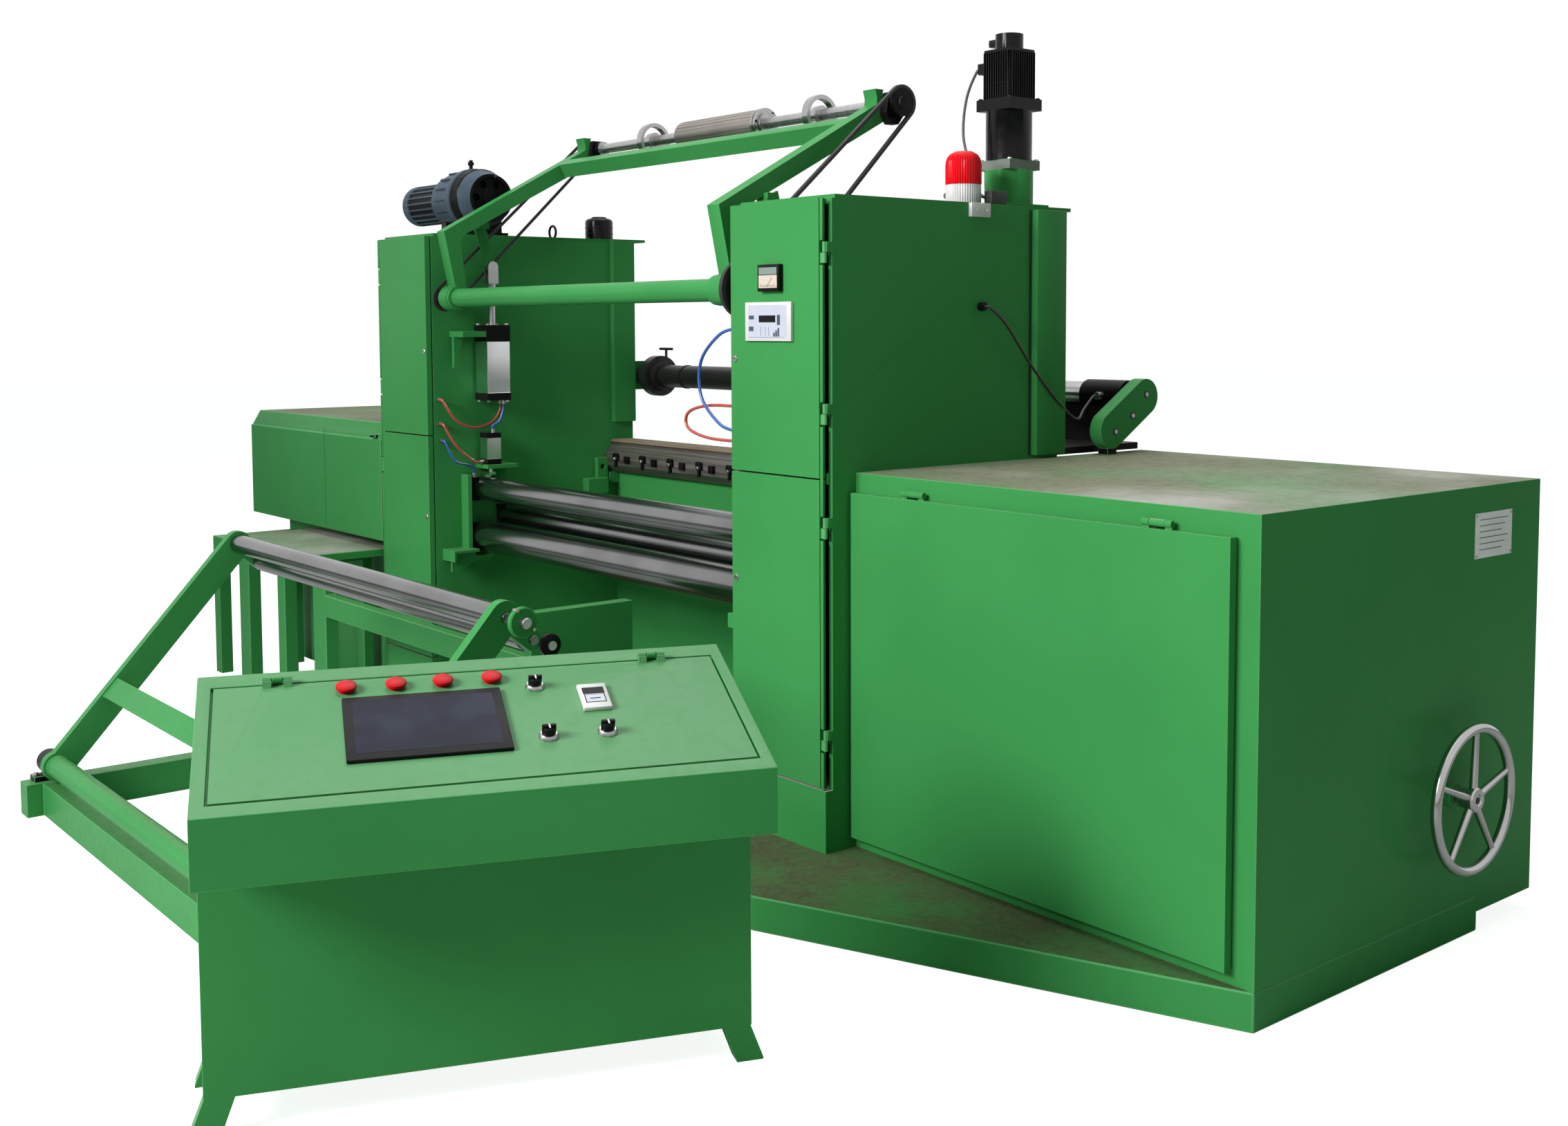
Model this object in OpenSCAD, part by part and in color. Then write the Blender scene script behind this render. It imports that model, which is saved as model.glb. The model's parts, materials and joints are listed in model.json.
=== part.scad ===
// Rubber sheet making machine: two side frames with a three-roll stack between them,
// a swinging winder above, drive cabinets at both sides, a tilting guide stand in front
// and a free-standing control console.
// X runs along the rolls, Y from the front of the frames to the back, Z up from the ground.
// X = 0 is midway between the frames and Y = 0 is the front of their doors.

/* [Side frames] */
// Clear gap between the two side frames
gap_w = 1800; // [1600:10:2200]
// Width of each side frame
frame_w = 390; // [340:5:460]
// Depth of the side frames from door front to back
frame_d = 870; // [860:5:940]
// Height of the side frames' top above the ground
frame_top = 1758; // [1740:2:1860]
// Wall of the side frames' housings
frame_wall = 14; // [10:1:18]
// Thickness of the plates on top of the frames
top_plate_t = 10; // [8:1:16]
// Overhang of the top plates at the back and at the inner sides
top_over = 50; // [20:5:60]

/* [Base] */
// Height of the base
base_h = 85; // [80:1:110]
// Back edge of the base, measured from the frames' front
base_back = 991; // [960:1:1060]
// How far the base reaches in front of the right frame
base_front = 330; // [300:5:400]
// How far the base stands proud of the frame doors
base_lip = 8; // [4:1:16]

/* [Frame doors] */
// Thickness of the frame doors
door_t = 20; // [16:1:22]
// Gap round every moving cover
door_gap = 5; // [5:0.5:8]
// Height of the joint line between upper and lower doors
door_split = 1049; // [1000:1:1080]
// Height of the lower doors' bottom edge
door_foot = 253; // [200:1:300]
// Dark strip beside the doors that holds their hinges
hinge_strip = 22; // [20:1:30]
// Diameter of the hinge pins
pin_d = 6; // [5:1:8]

/* [Right cabinet] */
// Length of the right cabinet
cab_w = 1222; // [1100:2:1400]
// Depth of the right cabinet
cab_d = 1141; // [1100:1:1200]
// Height of the right cabinet's top
cab_top = 1062; // [1050:1:1100]
// Set-back of the cabinet front behind the frame doors
cab_front = 104; // [100:1:130]
// Wall of the cabinets
cab_wall = 12; // [8:1:16]
// Thickness of the lift-up front panel
panel_t = 22; // [16:1:24]

/* [Left cabinet] */
// Length of the left cabinet
left_cab_w = 1295; // [1200:5:1400]
// Height of the left cabinet's front edge
left_cab_top = 1015; // [990:1:1040]
// Height of the left cabinet's underside at the front
left_cab_foot = 633; // [610:1:660]
// Height of its raised lid
lid_rise = 62; // [40:1:80]

/* [Rolls] */
// Diameter of the upper roll
upper_roll_d = 88; // [70:1:100]
// Diameter of the middle roll
middle_roll_d = 90; // [80:1:100]
// Diameter of the lower roll
lower_roll_d = 112; // [100:1:130]
// Diameter of the roll journals
journal_d = 36; // [28:1:44]
// Thickness of the roll bearing blocks
block_t = 30; // [24:1:34]
// Radial running clearance of every journal
run_gap = 0.05; // [0.02:0.01:0.1]

/* [Winder] */
// Diameter of the swing tube
swing_tube_d = 64; // [50:1:76]
// Width of the swing arms
arm_w = 55; // [46:1:64]
// Depth of the swing arms' section
arm_h = 56; // [50:1:66]
// Diameter of the winding shaft
wind_shaft_d = 35; // [28:1:42]
// Diameter of the sleeve on the winding shaft
sleeve_d = 94; // [70:1:100]
// Length of that sleeve
sleeve_len = 428; // [300:2:500]

/* [Lift cylinders] */
// Square of the lift cylinders' caps
lift_cap = 94; // [86:1:96]
// Diameter of the lift rods
rod_d = 25; // [20:1:28]

/* [Guide stand] */
// Length of the stand's rolls
stand_roll_len = 1664; // [1500:2:1700]
// Diameter of the stand's rolls
stand_roll_d = 58; // [50:1:64]
// Diameter of the stand's pivot tube
stand_tube_d = 65; // [56:1:70]
// Width of the stand's arms
stand_arm_w = 30; // [26:1:36]

/* [Feed frame] */
// Height of the feed frame's top
feed_top = 600; // [580:1:615]
// Front of the feed frame ahead of the side frames
feed_front = 260; // [240:1:300]

/* [Console] */
// Width of the console hood
hood_w = 1015; // [940:1:1080]
// Depth of the console hood
hood_d = 439; // [420:1:470]
// Height of the hood's underside
hood_foot = 508; // [480:1:540]
// Height of the hood's front edge
hood_front = 632; // [610:1:650]
// Height of the hood's back edge
hood_back = 778; // [760:1:800]
// Set-back of the console body under the hood's front
body_set = 178; // [150:1:190]
// Height of the console body's underside
body_foot = 72; // [60:1:90]

/* [Handwheel] */
// Diameter of the handwheel
wheel_d = 350; // [300:2:400]
// Thickness of its rim
rim_d = 24; // [18:1:28]

/* [Hidden] */
$fn = 48;
half = gap_w / 2;
outer = half + frame_w;
body_y = door_t + door_gap;
deck_z = frame_top + top_plate_t;
cab_x1 = outer + cab_w;
cab_y1 = cab_front + cab_d;

// Roll axes, as [y, z]
upper_axis = [205, 850];
middle_axis = [312, 745];
lower_axis = [205, 680];
roll_end = half - block_t - 2;

// Rear spindle
spindle_axis = [frame_d + 50, 1245];
spindle_d = 85;
spindle_journal = 40;

// Swing frame
pivot_axis = [60, frame_top - 221];
wind_axis = [645, frame_top + 330];
knee = [14, frame_top + 10];
arm_x1 = half - 70;
arm_x0 = arm_x1 - arm_w;
pivot_journal = 30;
belt_x = half - 21;
belt_w = 14;
// The left belt is narrower and runs between the lift rod's fork and the gearmotor's face
left_belt_x = arm_x1 + 37;
left_belt_w = 6;
belt_t = 5;
pulley_r = [70, 41];
left_pulley_r = [36, 26];

// Lift cylinders
lift_x = half - 57;
lift_y = 232;
lift_z = [for (h = [586, 559, 375, 316]) frame_top - h];
rod_eye_z = frame_top - 108;
lever_t = 12;
fork_gap = 5;
fork_t = 5;

// Small press cylinders
press_x = half - 50;
press_y = 222;
press_sq = 56;
press_z = [940, 960, 1036, 1054];

// Guide stand
stand_x0 = -665;
stand_x1 = stand_x0 + stand_roll_len + 2 * stand_arm_w + 10;
stand_pivot = [-1340, 148];
stand_upper = [-786, 760];
stand_lower = [-714, 698];
stand_beam = [70, 98];

// Feed frame
feed_x0 = -2357;
feed_x1 = 259;
feed_y0 = -feed_front;
feed_y1 = 97;

// Console, in its own frame: u along its front, v towards its back
console_at = [1742, -1756];
console_turn = 68.3;
slope = atan((hood_back - hood_front) / hood_d);
lid_u = [30, 988];
lid_v = [38, 394];
lid_t = 8;

// Handwheel
wheel_at = [cab_front + 735, 360];
wheel_out = 78;
wheel_shaft = 24;

green = "forestgreen";
dark_green = "darkgreen";
black = "#1c1c1e";

// ---------- helpers ----------

module block(x, y, z) {
    translate([x[0], y[0], z[0]]) cube([x[1] - x[0], y[1] - y[0], z[1] - z[0]]);
}

// Cylinder along X at [y, z]
module rod_x(d, x0, x1, at) {
    translate([x0, at[0], at[1]]) rotate([0, 90, 0]) cylinder(d = d, h = x1 - x0);
}

// Cylinder upwards
module post(d, at, z0, z1) {
    translate([at[0], at[1], z0]) cylinder(d = d, h = z1 - z0);
}

// Profile drawn in [y, z], extruded along X
module plate_x(x0, x1) {
    translate([x0, 0, 0]) rotate([90, 0, 90]) linear_extrude(x1 - x0) children();
}

module both_sides() {
    children();
    mirror([1, 0, 0]) children();
}

// ---------- base ----------

module base_plinth() {
    color(dark_green) linear_extrude(base_h) polygon([
        [-outer, -base_lip], [half - 20, -base_lip], [half - 20, -base_front],
        [outer + 120, -base_front],
        [cab_x1, cab_front], [cab_x1, base_back], [-outer, base_back]]);
}

// ---------- side frames ----------

// Housing of the right frame; the left one is its mirror
module frame_housing(channel_foot) {
    difference() {
        block([half, outer], [body_y, frame_d], [base_h, frame_top]);
        block([half + frame_wall, outer - frame_wall], [body_y - 1, frame_d - frame_wall],
            [door_foot, door_split - frame_wall]);
        block([half + frame_wall, outer - frame_wall], [body_y - 1, frame_d - frame_wall],
            [door_split + frame_wall, frame_top - frame_wall]);
        rod_x(pivot_journal + 2 * run_gap, half - 1, half + frame_wall + 1, pivot_axis);
    }
    // Kick panel below the lower door
    block([half, outer], [0, body_y], [base_h, door_foot - door_gap]);
    // Channel down the rear inner corner
    block([half - 22, half], [frame_d - 96, frame_d], [channel_foot, frame_top]);
}

// Fixed hinge leaf and upper knuckle with its pin, one for each hinge height
module frame_hinges() {
    for (z = hinge_heights) {
        translate([hinge_x, hinge_y, z + 1]) cylinder(d = 2 * pin_d, h = knuckle_h);
        translate([hinge_x, hinge_y, z - knuckle_h]) cylinder(d = pin_d, h = knuckle_h + 2);
        block([hinge_x - 1, outer], [hinge_y, body_y], [z + 1, z + 1 + knuckle_h]);
    }
}

hinge_x = outer - 8;
hinge_y = 8;
knuckle_h = 26;
upper_hinges = [1621, 1214];
lower_hinges = [924, 377];
hinge_heights = concat(upper_hinges, lower_hinges);

module left_frame() {
    color(dark_green) mirror([1, 0, 0]) {
        frame_housing(door_split + 20);
        frame_hinges();
    }
}

module right_frame() {
    color(dark_green) {
        frame_housing(cab_top + 10);
        frame_hinges();
    }
}

// Door leaf between two heights, with its own knuckles bored for the pins
module door_leaf(z0, z1, heights) {
    difference() {
        union() {
            block([half, outer - hinge_strip], [0, door_t], [z0, z1]);
            for (z = heights) {
                translate([hinge_x, hinge_y, z - knuckle_h]) cylinder(d = 2 * pin_d, h = knuckle_h);
                block([outer - hinge_strip - 1, hinge_x], [hinge_y - 3, hinge_y + 3],
                    [z - knuckle_h, z]);
            }
        }
        for (z = heights)
            translate([hinge_x, hinge_y, z - knuckle_h - 1])
                cylinder(d = pin_d + 2 * run_gap, h = knuckle_h + 2);
    }
}

module left_upper_door() {
    color(green) mirror([1, 0, 0])
        door_leaf(door_split + door_gap / 2, frame_top, upper_hinges);
}

module left_lower_door() {
    color(green) mirror([1, 0, 0])
        door_leaf(door_foot, door_split - door_gap / 2, lower_hinges);
}

module right_upper_door() {
    color(green) door_leaf(door_split + door_gap / 2, frame_top, upper_hinges);
}

module right_lower_door() {
    color(green) door_leaf(door_foot, door_split - door_gap / 2, lower_hinges);
}

// Meter and temperature controller on the right upper door
module door_instruments() {
    color(black) block([1037, 1125], [-16, 0], [1527, 1597]);
    color("white") block([975, 1168], [-10, 0], [1398, 1500]);
}

module top_plates() {
    color(dark_green) both_sides() {
        block([half, outer], [body_y + 10, frame_d + top_over], [frame_top, deck_z]);
        block([half - 22, half], [frame_d - 96, frame_d + top_over], [frame_top, deck_z]);
    }
    // Lifting eye
    color(black) translate([-half - 198, 640, deck_z]) {
        translate([0, 0, 31]) rotate([90, 0, 0]) rotate_extrude() translate([24, 0]) circle(d = 9);
        cylinder(d = 24, h = 8);
    }
}

// ---------- right cabinet ----------

module right_cabinet() {
    color(dark_green) difference() {
        union() {
            block([outer, cab_x1], [cab_front, base_back], [base_h, cab_top]);
            block([outer, cab_x1], [base_back, cab_y1], [46, cab_top]);
        }
        block([outer + 40, cab_x1 - 60], [cab_front - 1, cab_y1 - cab_wall],
            [base_h + 60, cab_top - 60]);
    }
    color(dark_green) for (x = panel_hinges)
        cabinet_hinge(x);
    // Boss that carries the handwheel's shaft
    color(dark_green) difference() {
        rod_x(60, cab_x1, cab_x1 + 24, wheel_at);
        rod_x(wheel_shaft + 2 * run_gap, cab_x1 + 4, cab_x1 + 25, wheel_at);
    }
}

panel_x = [outer + 10, cab_x1 - 54];
panel_z = [117, 1012];
panel_hinges = [panel_x[0] + 221, panel_x[1] - 190];
panel_axis = [cab_front - door_gap - panel_t / 2, panel_z[1] + 12];

// Fixed middle knuckle of a top hinge, with its pin
module cabinet_hinge(x) {
    rod_x(16, x - 20, x + 20, panel_axis);
    rod_x(pin_d, x - 38, x + 38, panel_axis);
    block([x - 20, x + 20], [panel_axis[0], cab_front], [panel_axis[1] - 3, panel_axis[1] + 3]);
}

module cabinet_panel() {
    color(green) difference() {
        union() {
            block(panel_x, [cab_front - door_gap - panel_t, cab_front - door_gap], panel_z);
            for (x = panel_hinges, s = [-1, 1]) {
                rod_x(16, x + s * 30 - 9, x + s * 30 + 9, panel_axis);
                block([x + s * 30 - 9, x + s * 30 + 9], [panel_axis[0] - 3, panel_axis[0] + 3],
                    [panel_z[1] - 1, panel_axis[1]]);
            }
        }
        for (x = panel_hinges)
            rod_x(pin_d + 2 * run_gap, x - 50, x + 50, panel_axis);
    }
}

// ---------- left cabinet ----------

left_cab_x0 = -outer - left_cab_w;
left_cab_d = 640;

module left_cabinet() {
    bevel = 24;
    color(green) {
        block([left_cab_x0, -outer], [0, left_cab_d], [left_cab_foot, left_cab_top]);
        // Recessed foot that stands on the ground
        block([left_cab_x0 + 60, -outer], [feed_y1 + 40, left_cab_d - 40], [0, left_cab_foot]);
        hull() {
            block([left_cab_x0 + 6, -outer], [6, left_cab_d - 6], [left_cab_top, left_cab_top + 4]);
            block([left_cab_x0 + 6 + bevel, -outer], [6 + bevel, left_cab_d - 6 - bevel],
                [left_cab_top + lid_rise - 2, left_cab_top + lid_rise]);
        }
    }
    color(black) block([-outer - 75, -outer - 30], [-8, 12], [left_cab_top + 4, left_cab_top + 18]);
}

// ---------- between the frames ----------

module rear_panel() {
    color(dark_green) block([-half, half], [790, 802], [base_h, 884]);
}

// Beam of a sloping bar under a lipped cover plate, with a row of clamps on the bar
module knife_beam() {
    clamps = 10;
    color("dimgray") plate_x(-half + 4, half - 4) {
        polygon([[846, 994], [776, 994], [738, 950], [738, 906], [762, 880], [846, 925]]);
        polygon([[850, 1003], [772, 1003], [764, 994], [770, 990], [776, 994], [850, 994]]);
    }
    color(black) for (i = [0:clamps - 1])
        translate([-half + 90 + i * (gap_w - 180) / (clamps - 1), 0, 0]) {
            plate_x(-16, 16) polygon([[738, 950], [731, 956], [725, 948], [730, 926], [738, 926]]);
            plate_x(-5, 5) polygon([[738, 926], [727, 926], [727, 900], [738, 906]]);
        }
}

module spindle() {
    color(black) {
        rod_x(spindle_d, -half + 14, half - 14, spindle_axis);
        rod_x(spindle_journal, -half - 50, half + 50, spindle_axis);
        rod_x(155, -half + 88, -half + 128, spindle_axis);
        rod_x(112, -half + 60, -half + 160, spindle_axis);
        rod_x(155, half - 128, half - 88, spindle_axis);
        rod_x(112, half - 160, half - 60, spindle_axis);
        for (x = [-half + 300, half - 300])
            rod_x(spindle_d + 5, x - 4, x + 4, spindle_axis);
    }
    // Clamp screw with its cross handle
    color(black) {
        post(10, [-half + 160, spindle_axis[0]], spindle_axis[1] + 40, spindle_axis[1] + 104);
        translate([-half + 120, spindle_axis[0], spindle_axis[1] + 104])
            rotate([0, 90, 0]) cylinder(d = 10, h = 80);
    }
}

module roll(d, axis) {
    rod_x(d, -roll_end, roll_end, axis);
    rod_x(journal_d, -half + 1, half - 1, axis);
}

module upper_roll() { color("silver") roll(upper_roll_d, upper_axis); }
module middle_roll() { color("silver") roll(middle_roll_d, middle_axis); }
module lower_roll() { color("silver") roll(lower_roll_d, lower_axis); }

module roll_bearings() {
    color(black) both_sides()
        for (a = [[upper_axis, 42], [middle_axis, 44], [lower_axis, 48]])
            difference() {
                block([half - block_t, half], [a[0][0] - a[1], a[0][0] + a[1]],
                    [a[0][1] - a[1], a[0][1] + a[1]]);
                rod_x(journal_d + 2 * run_gap, half - block_t - 1, half + 1, a[0]);
            }
}

// Brackets welded to the frames' inner walls
module wall_brackets() {
    color(green) both_sides() {
        // Upright in front of the roll bearings
        block([half - 50, half], [128, 144], [640, 905]);
        // Shelf with a folded front edge, on a gusset with a rounded lower edge
        block([half - 90, half], [50, 150], [630, 640]);
        block([half - 90, half], [50, 58], [600, 640]);
        plate_x(half - 60, half)
            polygon([[142, 636], [142, 604], [222, 604], [222, 612], [150, 612], [150, 636]]);
        plate_x(half - 58, half - 48) difference() {
            polygon([[56, 562], [56, 634], [146, 634], [146, 608], [220, 608], [220, 596]]);
            translate([170, 500]) circle(r = 95);
        }
        // Plate under the press cylinder
        difference() {
            block([half - 90, half], [188, 310], [press_z[0] - 14, press_z[0]]);
            post(18, [press_x, press_y], press_z[0] - 20, press_z[0] + 5);
        }
        // Bracket at the lift cylinder's upper cap
        block([half - 100, half], [92, lift_y - lift_cap / 2], [1400, 1420]);
        plate_x(half - 30, half - 16) polygon([[92, 1400], [132, 1400], [102, 1290], [92, 1290]]);
        // Seats of the knife beam
        block([half - 40, half], [640, 730], [800, 858]);
        difference() {
            block([half - 24, half - 4], [738 - 46, 738], [858, 935]);
            rod_x(22, half - 30, half, [715, 900]);
        }
        block([half - 24, half], [745, 789], [835, 878]);
        // Bearing of the rear spindle, on the frame's back
        difference() {
            block([half + 4, half + 44], [frame_d, spindle_axis[0] + 48],
                [spindle_axis[1] - 55, spindle_axis[1] + 55]);
            rod_x(spindle_journal + 2 * run_gap, half, half + 50, spindle_axis);
        }
    }
}

// ---------- winder ----------

// Outline of a swing arm, [y, z]: a bent box section that ends at the winding shaft
arm_foot = [65, frame_top + 22];
arm_dir = (wind_axis - arm_foot) / norm(wind_axis - arm_foot);
arm_up = [-arm_dir[1], arm_dir[0]];

module arm_outline() {
    tip = wind_axis - 2 * arm_up;
    difference() {
        union() {
            polygon([[54, pivot_axis[1] + 38], knee, tip + 0.42 * arm_h * arm_up,
                tip - 0.58 * arm_h * arm_up, knee + [76, -11], knee + [62, -33],
                [98, pivot_axis[1] + 30]]);
            polygon([pivot_axis + [-20, 0], [54, pivot_axis[1] + 38], [98, pivot_axis[1] + 30],
                pivot_axis + [36, 0]]);
            translate(pivot_axis) circle(d = 88);
            translate(wind_axis) circle(d = 62);
        }
        translate(wind_axis) circle(d = wind_shaft_d + 2 * run_gap);
    }
}

module swing_frame() {
    lever_x = [lift_x - lever_t / 2, lift_x + lever_t / 2];
    color(green) {
        rod_x(swing_tube_d, -arm_x0, arm_x0, pivot_axis);
        both_sides() {
            plate_x(arm_x0, arm_x1) arm_outline();
            // Rings on the tube beside the arm
            rod_x(84, arm_x0 - 16, arm_x0, pivot_axis);
            rod_x(76, arm_x1, arm_x1 + 16, pivot_axis);
            rod_x(pivot_journal, arm_x1 + 16, half + frame_wall - 2, pivot_axis);
            // Flared lug standing on the arm's end
            plate_x(arm_x0, arm_x1)
                polygon([for (p = [[-55, -28], [-35, -26], [-33, 20], [-28, 40], [-60, 40],
                    [-53, 16]]) wind_axis + p]);
            // Lever between the cheeks of the lift rod's fork
            plate_x(lever_x[0], lever_x[1])
                polygon([for (p = [[-67, 140], [-28, 162], [18, -5], [12, -18], [-4, -20],
                    [-14, -10]]) [lift_y, rod_eye_z] + p]);
            block([arm_x1 - 30, lever_x[1]], [lift_y - 64, lift_y - 28],
                [rod_eye_z + 134, rod_eye_z + 156]);
        }
        // Cross beam, a box section square to the arms
        plate_x(-arm_x0, arm_x0) polygon([for (c = [[0, 0], [0, 1], [1, 1], [1, 0]])
            wind_axis + [-141, -109] + 46 * c[0] * arm_dir + 50 * c[1] * arm_up]);
    }
}

// Open ring chuck with its clamp block, shown with its foot towards the front
module ring_chuck(x) {
    r = [49, 62];
    color("silver") translate([x, wind_axis[0], wind_axis[1]]) rotate([0, 90, 0]) {
        difference() {
            cylinder(d = 58, h = 26, center = true);
            cylinder(d = wind_shaft_d - 2, h = 40, center = true);
        }
        difference() {
            cylinder(r = r[1], h = 26, center = true);
            cylinder(r = r[0], h = 30, center = true);
            rotate([0, 0, -20]) translate([0, 0, -15]) cube([80, 80, 30]);
        }
        // Arm from the hub to the ring's foot, and a jaw at its open end
        rotate([0, 0, -30]) translate([24, -9, -10]) cube([r[0] - 18, 18, 20]);
        rotate([0, 0, 74]) translate([r[0] - 8, -7, -11]) cube([r[1] - r[0] + 12, 12, 22]);
    }
}

// The belts' upper wheels, the sleeve with its clamp rings and the hub turn with the shaft
module winding_shaft() {
    color("black") {
        rod_x(2 * pulley_r[1] - 0.6, belt_x - belt_w / 2, belt_x + belt_w / 2, wind_axis);
        rod_x(2 * left_pulley_r[1] - 0.6, -left_belt_x - left_belt_w / 2,
            -left_belt_x + left_belt_w / 2, wind_axis);
        rod_x(52, -arm_x0 + 18, -arm_x0 + 44, wind_axis);
    }
    color("silver") {
        rod_x(wind_shaft_d, -left_belt_x - left_belt_w / 2, half - 10, wind_axis);
        rod_x(sleeve_d, -sleeve_len / 2, sleeve_len / 2, wind_axis);
        for (x = [sleeve_len / 2, sleeve_len / 2 + 14])
            rod_x(sleeve_d + 6, x, x + 10, wind_axis);
        rod_x(72, sleeve_len / 2 + 24, sleeve_len / 2 + 34, wind_axis);
    }
    ring_chuck(-408);
    ring_chuck(506);
}

// Shaft bearings, bolted to the inner side of the left arm and the outer side of the right
module winding_bearings() {
    y = wind_axis[0];
    z = wind_axis[1];
    color(black) for (x = [[-arm_x0, -arm_x0 + 16], [arm_x1, arm_x1 + 30]])
        difference() {
            plate_x(x[0], x[1]) polygon([[y - 44, z - 30], [y - 32, z + 30], [y + 26, z + 30],
                [y + 32, z - 28], [y + 6, z - 62], [y - 26, z - 62]]);
            rod_x(wind_shaft_d + 2 * run_gap, x[0] - 1, x[1] + 1, wind_axis);
        }
}

// Lower wheels of the belts, turning on the swing frame's journals
module lower_pulley(r, x, w) {
    difference() {
        rod_x(2 * r - 0.6, x - w / 2, x + w / 2, pivot_axis);
        rod_x(pivot_journal + 2 * run_gap, half - 60, half + 10, pivot_axis);
    }
}

module right_pulley() { color(black) lower_pulley(pulley_r[0], belt_x, belt_w); }
module left_pulley() {
    color(black) mirror([1, 0, 0]) lower_pulley(left_pulley_r[0], left_belt_x, left_belt_w);
}

// Closed belt loop round two wheels
module belt_loop(r0, r1) {
    difference() {
        hull() {
            translate(pivot_axis) circle(r = r0 + belt_t, $fn = 40);
            translate(wind_axis) circle(r = r1 + belt_t, $fn = 40);
        }
        hull() {
            translate(pivot_axis) circle(r = r0, $fn = 40);
            translate(wind_axis) circle(r = r1, $fn = 40);
        }
    }
}

module belts() {
    color(black) {
        plate_x(belt_x - belt_w / 2, belt_x + belt_w / 2) belt_loop(pulley_r[0], pulley_r[1]);
        plate_x(-left_belt_x - left_belt_w / 2, -left_belt_x + left_belt_w / 2)
            belt_loop(left_pulley_r[0], left_pulley_r[1]);
    }
}

// ---------- lift and press cylinders ----------

module lift_cylinders() {
    h = lift_cap / 2;
    both_sides() {
        color(black) difference() {
            block([lift_x - h, lift_x + h], [lift_y - h, lift_y + h], [lift_z[2], lift_z[3]]);
            post(rod_d + 2 * run_gap, [lift_x, lift_y], lift_z[2] - 1, lift_z[3] + 1);
        }
        color("silver") difference() {
            block([lift_x - h + 2, lift_x + h - 2], [lift_y - h + 2, lift_y + h - 2],
                [lift_z[1], lift_z[2]]);
            post(rod_d + 6, [lift_x, lift_y], lift_z[1] + 10, lift_z[2] + 1);
        }
        color(black)
            block([lift_x - h, lift_x + h], [lift_y - h, lift_y + h], [lift_z[0], lift_z[1]]);
    }
}

// Rods with forks, open at the top, whose cheeks stand beside the levers
module lift_rods() {
    inner = lever_t / 2 + fork_gap;
    floor_z = rod_eye_z - 46;
    color("silver") both_sides() {
        post(rod_d, [lift_x, lift_y], lift_z[1] + 90, floor_z - 22);
        post(30, [lift_x, lift_y], floor_z - 34, floor_z - 10);
        block([lift_x - inner - fork_t, lift_x + inner + fork_t], [lift_y - 20, lift_y + 20],
            [floor_z - 14, floor_z]);
        for (x = [lift_x - inner - fork_t, lift_x + inner])
            plate_x(x, x + fork_t) {
                translate([lift_y, rod_eye_z]) circle(d = 40);
                polygon([[lift_y - 20, floor_z - 1], [lift_y - 20, rod_eye_z],
                    [lift_y + 20, rod_eye_z], [lift_y + 20, floor_z - 1]]);
            }
    }
}

module press_cylinders() {
    h = press_sq / 2;
    foot_z = upper_axis[1] + 42;
    both_sides() {
        color(black) {
            block([press_x - h, press_x + h], [press_y - h, press_y + h],
                [press_z[0], press_z[1]]);
            block([press_x - h, press_x + h], [press_y - h, press_y + h],
                [press_z[2], press_z[3]]);
        }
        color("silver") {
            block([press_x - h + 1, press_x + h - 1], [press_y - h + 1, press_y + h - 1],
                [press_z[1], press_z[2]]);
            post(16, [press_x, press_y], foot_z + 10, press_z[0]);
            // Foot that reaches over the bearing block of the upper roll
            block([press_x - 12, half - 4], [press_y - 12, press_y + 12],
                [foot_z + 10, foot_z + 20]);
            block([half - block_t + 2, half - 4], [press_y - 12, press_y + 12],
                [foot_z, foot_z + 11]);
        }
    }
}

// ---------- drives ----------

gear_axis = [255, frame_top + 142];
gear_face = -half + 25;
// Half section of the gearmotor, [radius, distance behind its face]
gear_profile = [[86, 0], [104, 61], [108, 64], [108, 112], [113, 114], [113, 142], [104, 146],
    [104, 240], [96, 244], [96, 282], [70, 286], [70, 520], [76, 521], [76, 562], [60, 582], [0, 582]];

module rotate_about_gear(a) {
    translate([0, gear_axis[0], gear_axis[1]]) rotate([a, 0, 0])
        translate([0, -gear_axis[0], -gear_axis[1]]) children();
}

module gearmotor() {
    stud_r = 54;
    color("slategray") {
        difference() {
            translate([gear_face, gear_axis[0], gear_axis[1]]) rotate([0, -90, 0])
                rotate_extrude() polygon(concat([[0, 0]], gear_profile));
            // Dished face with its ring of pockets
            rod_x(150, gear_face - 12, gear_face + 1, gear_axis);
            for (i = [0:5])
                rotate_about_gear(i * 60) rod_x(30, gear_face - 32, gear_face - 11,
                    gear_axis + [stud_r, 0]);
        }
        rod_x(52, gear_face - 13, gear_face - 1, gear_axis);
        // Ribs of the gearbox and of the motor
        for (i = [0:15])
            rotate_about_gear(i * 22.5)
                block([gear_face - 238, gear_face - 144], [gear_axis[0] - 4, gear_axis[0] + 4],
                    [gear_axis[1] + 100, gear_axis[1] + 110]);
        for (i = [0:19])
            rotate_about_gear(i * 18)
                block([gear_face - 521, gear_face - 284], [gear_axis[0] - 2.5, gear_axis[0] + 2.5],
                    [gear_axis[1] + 66, gear_axis[1] + 76]);
        // Breather
        post(14, [gear_face - 150, gear_axis[0]], gear_axis[1] + 100, gear_axis[1] + 146);
        post(22, [gear_face - 150, gear_axis[0]], gear_axis[1] + 128, gear_axis[1] + 139);
    }
}

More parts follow.
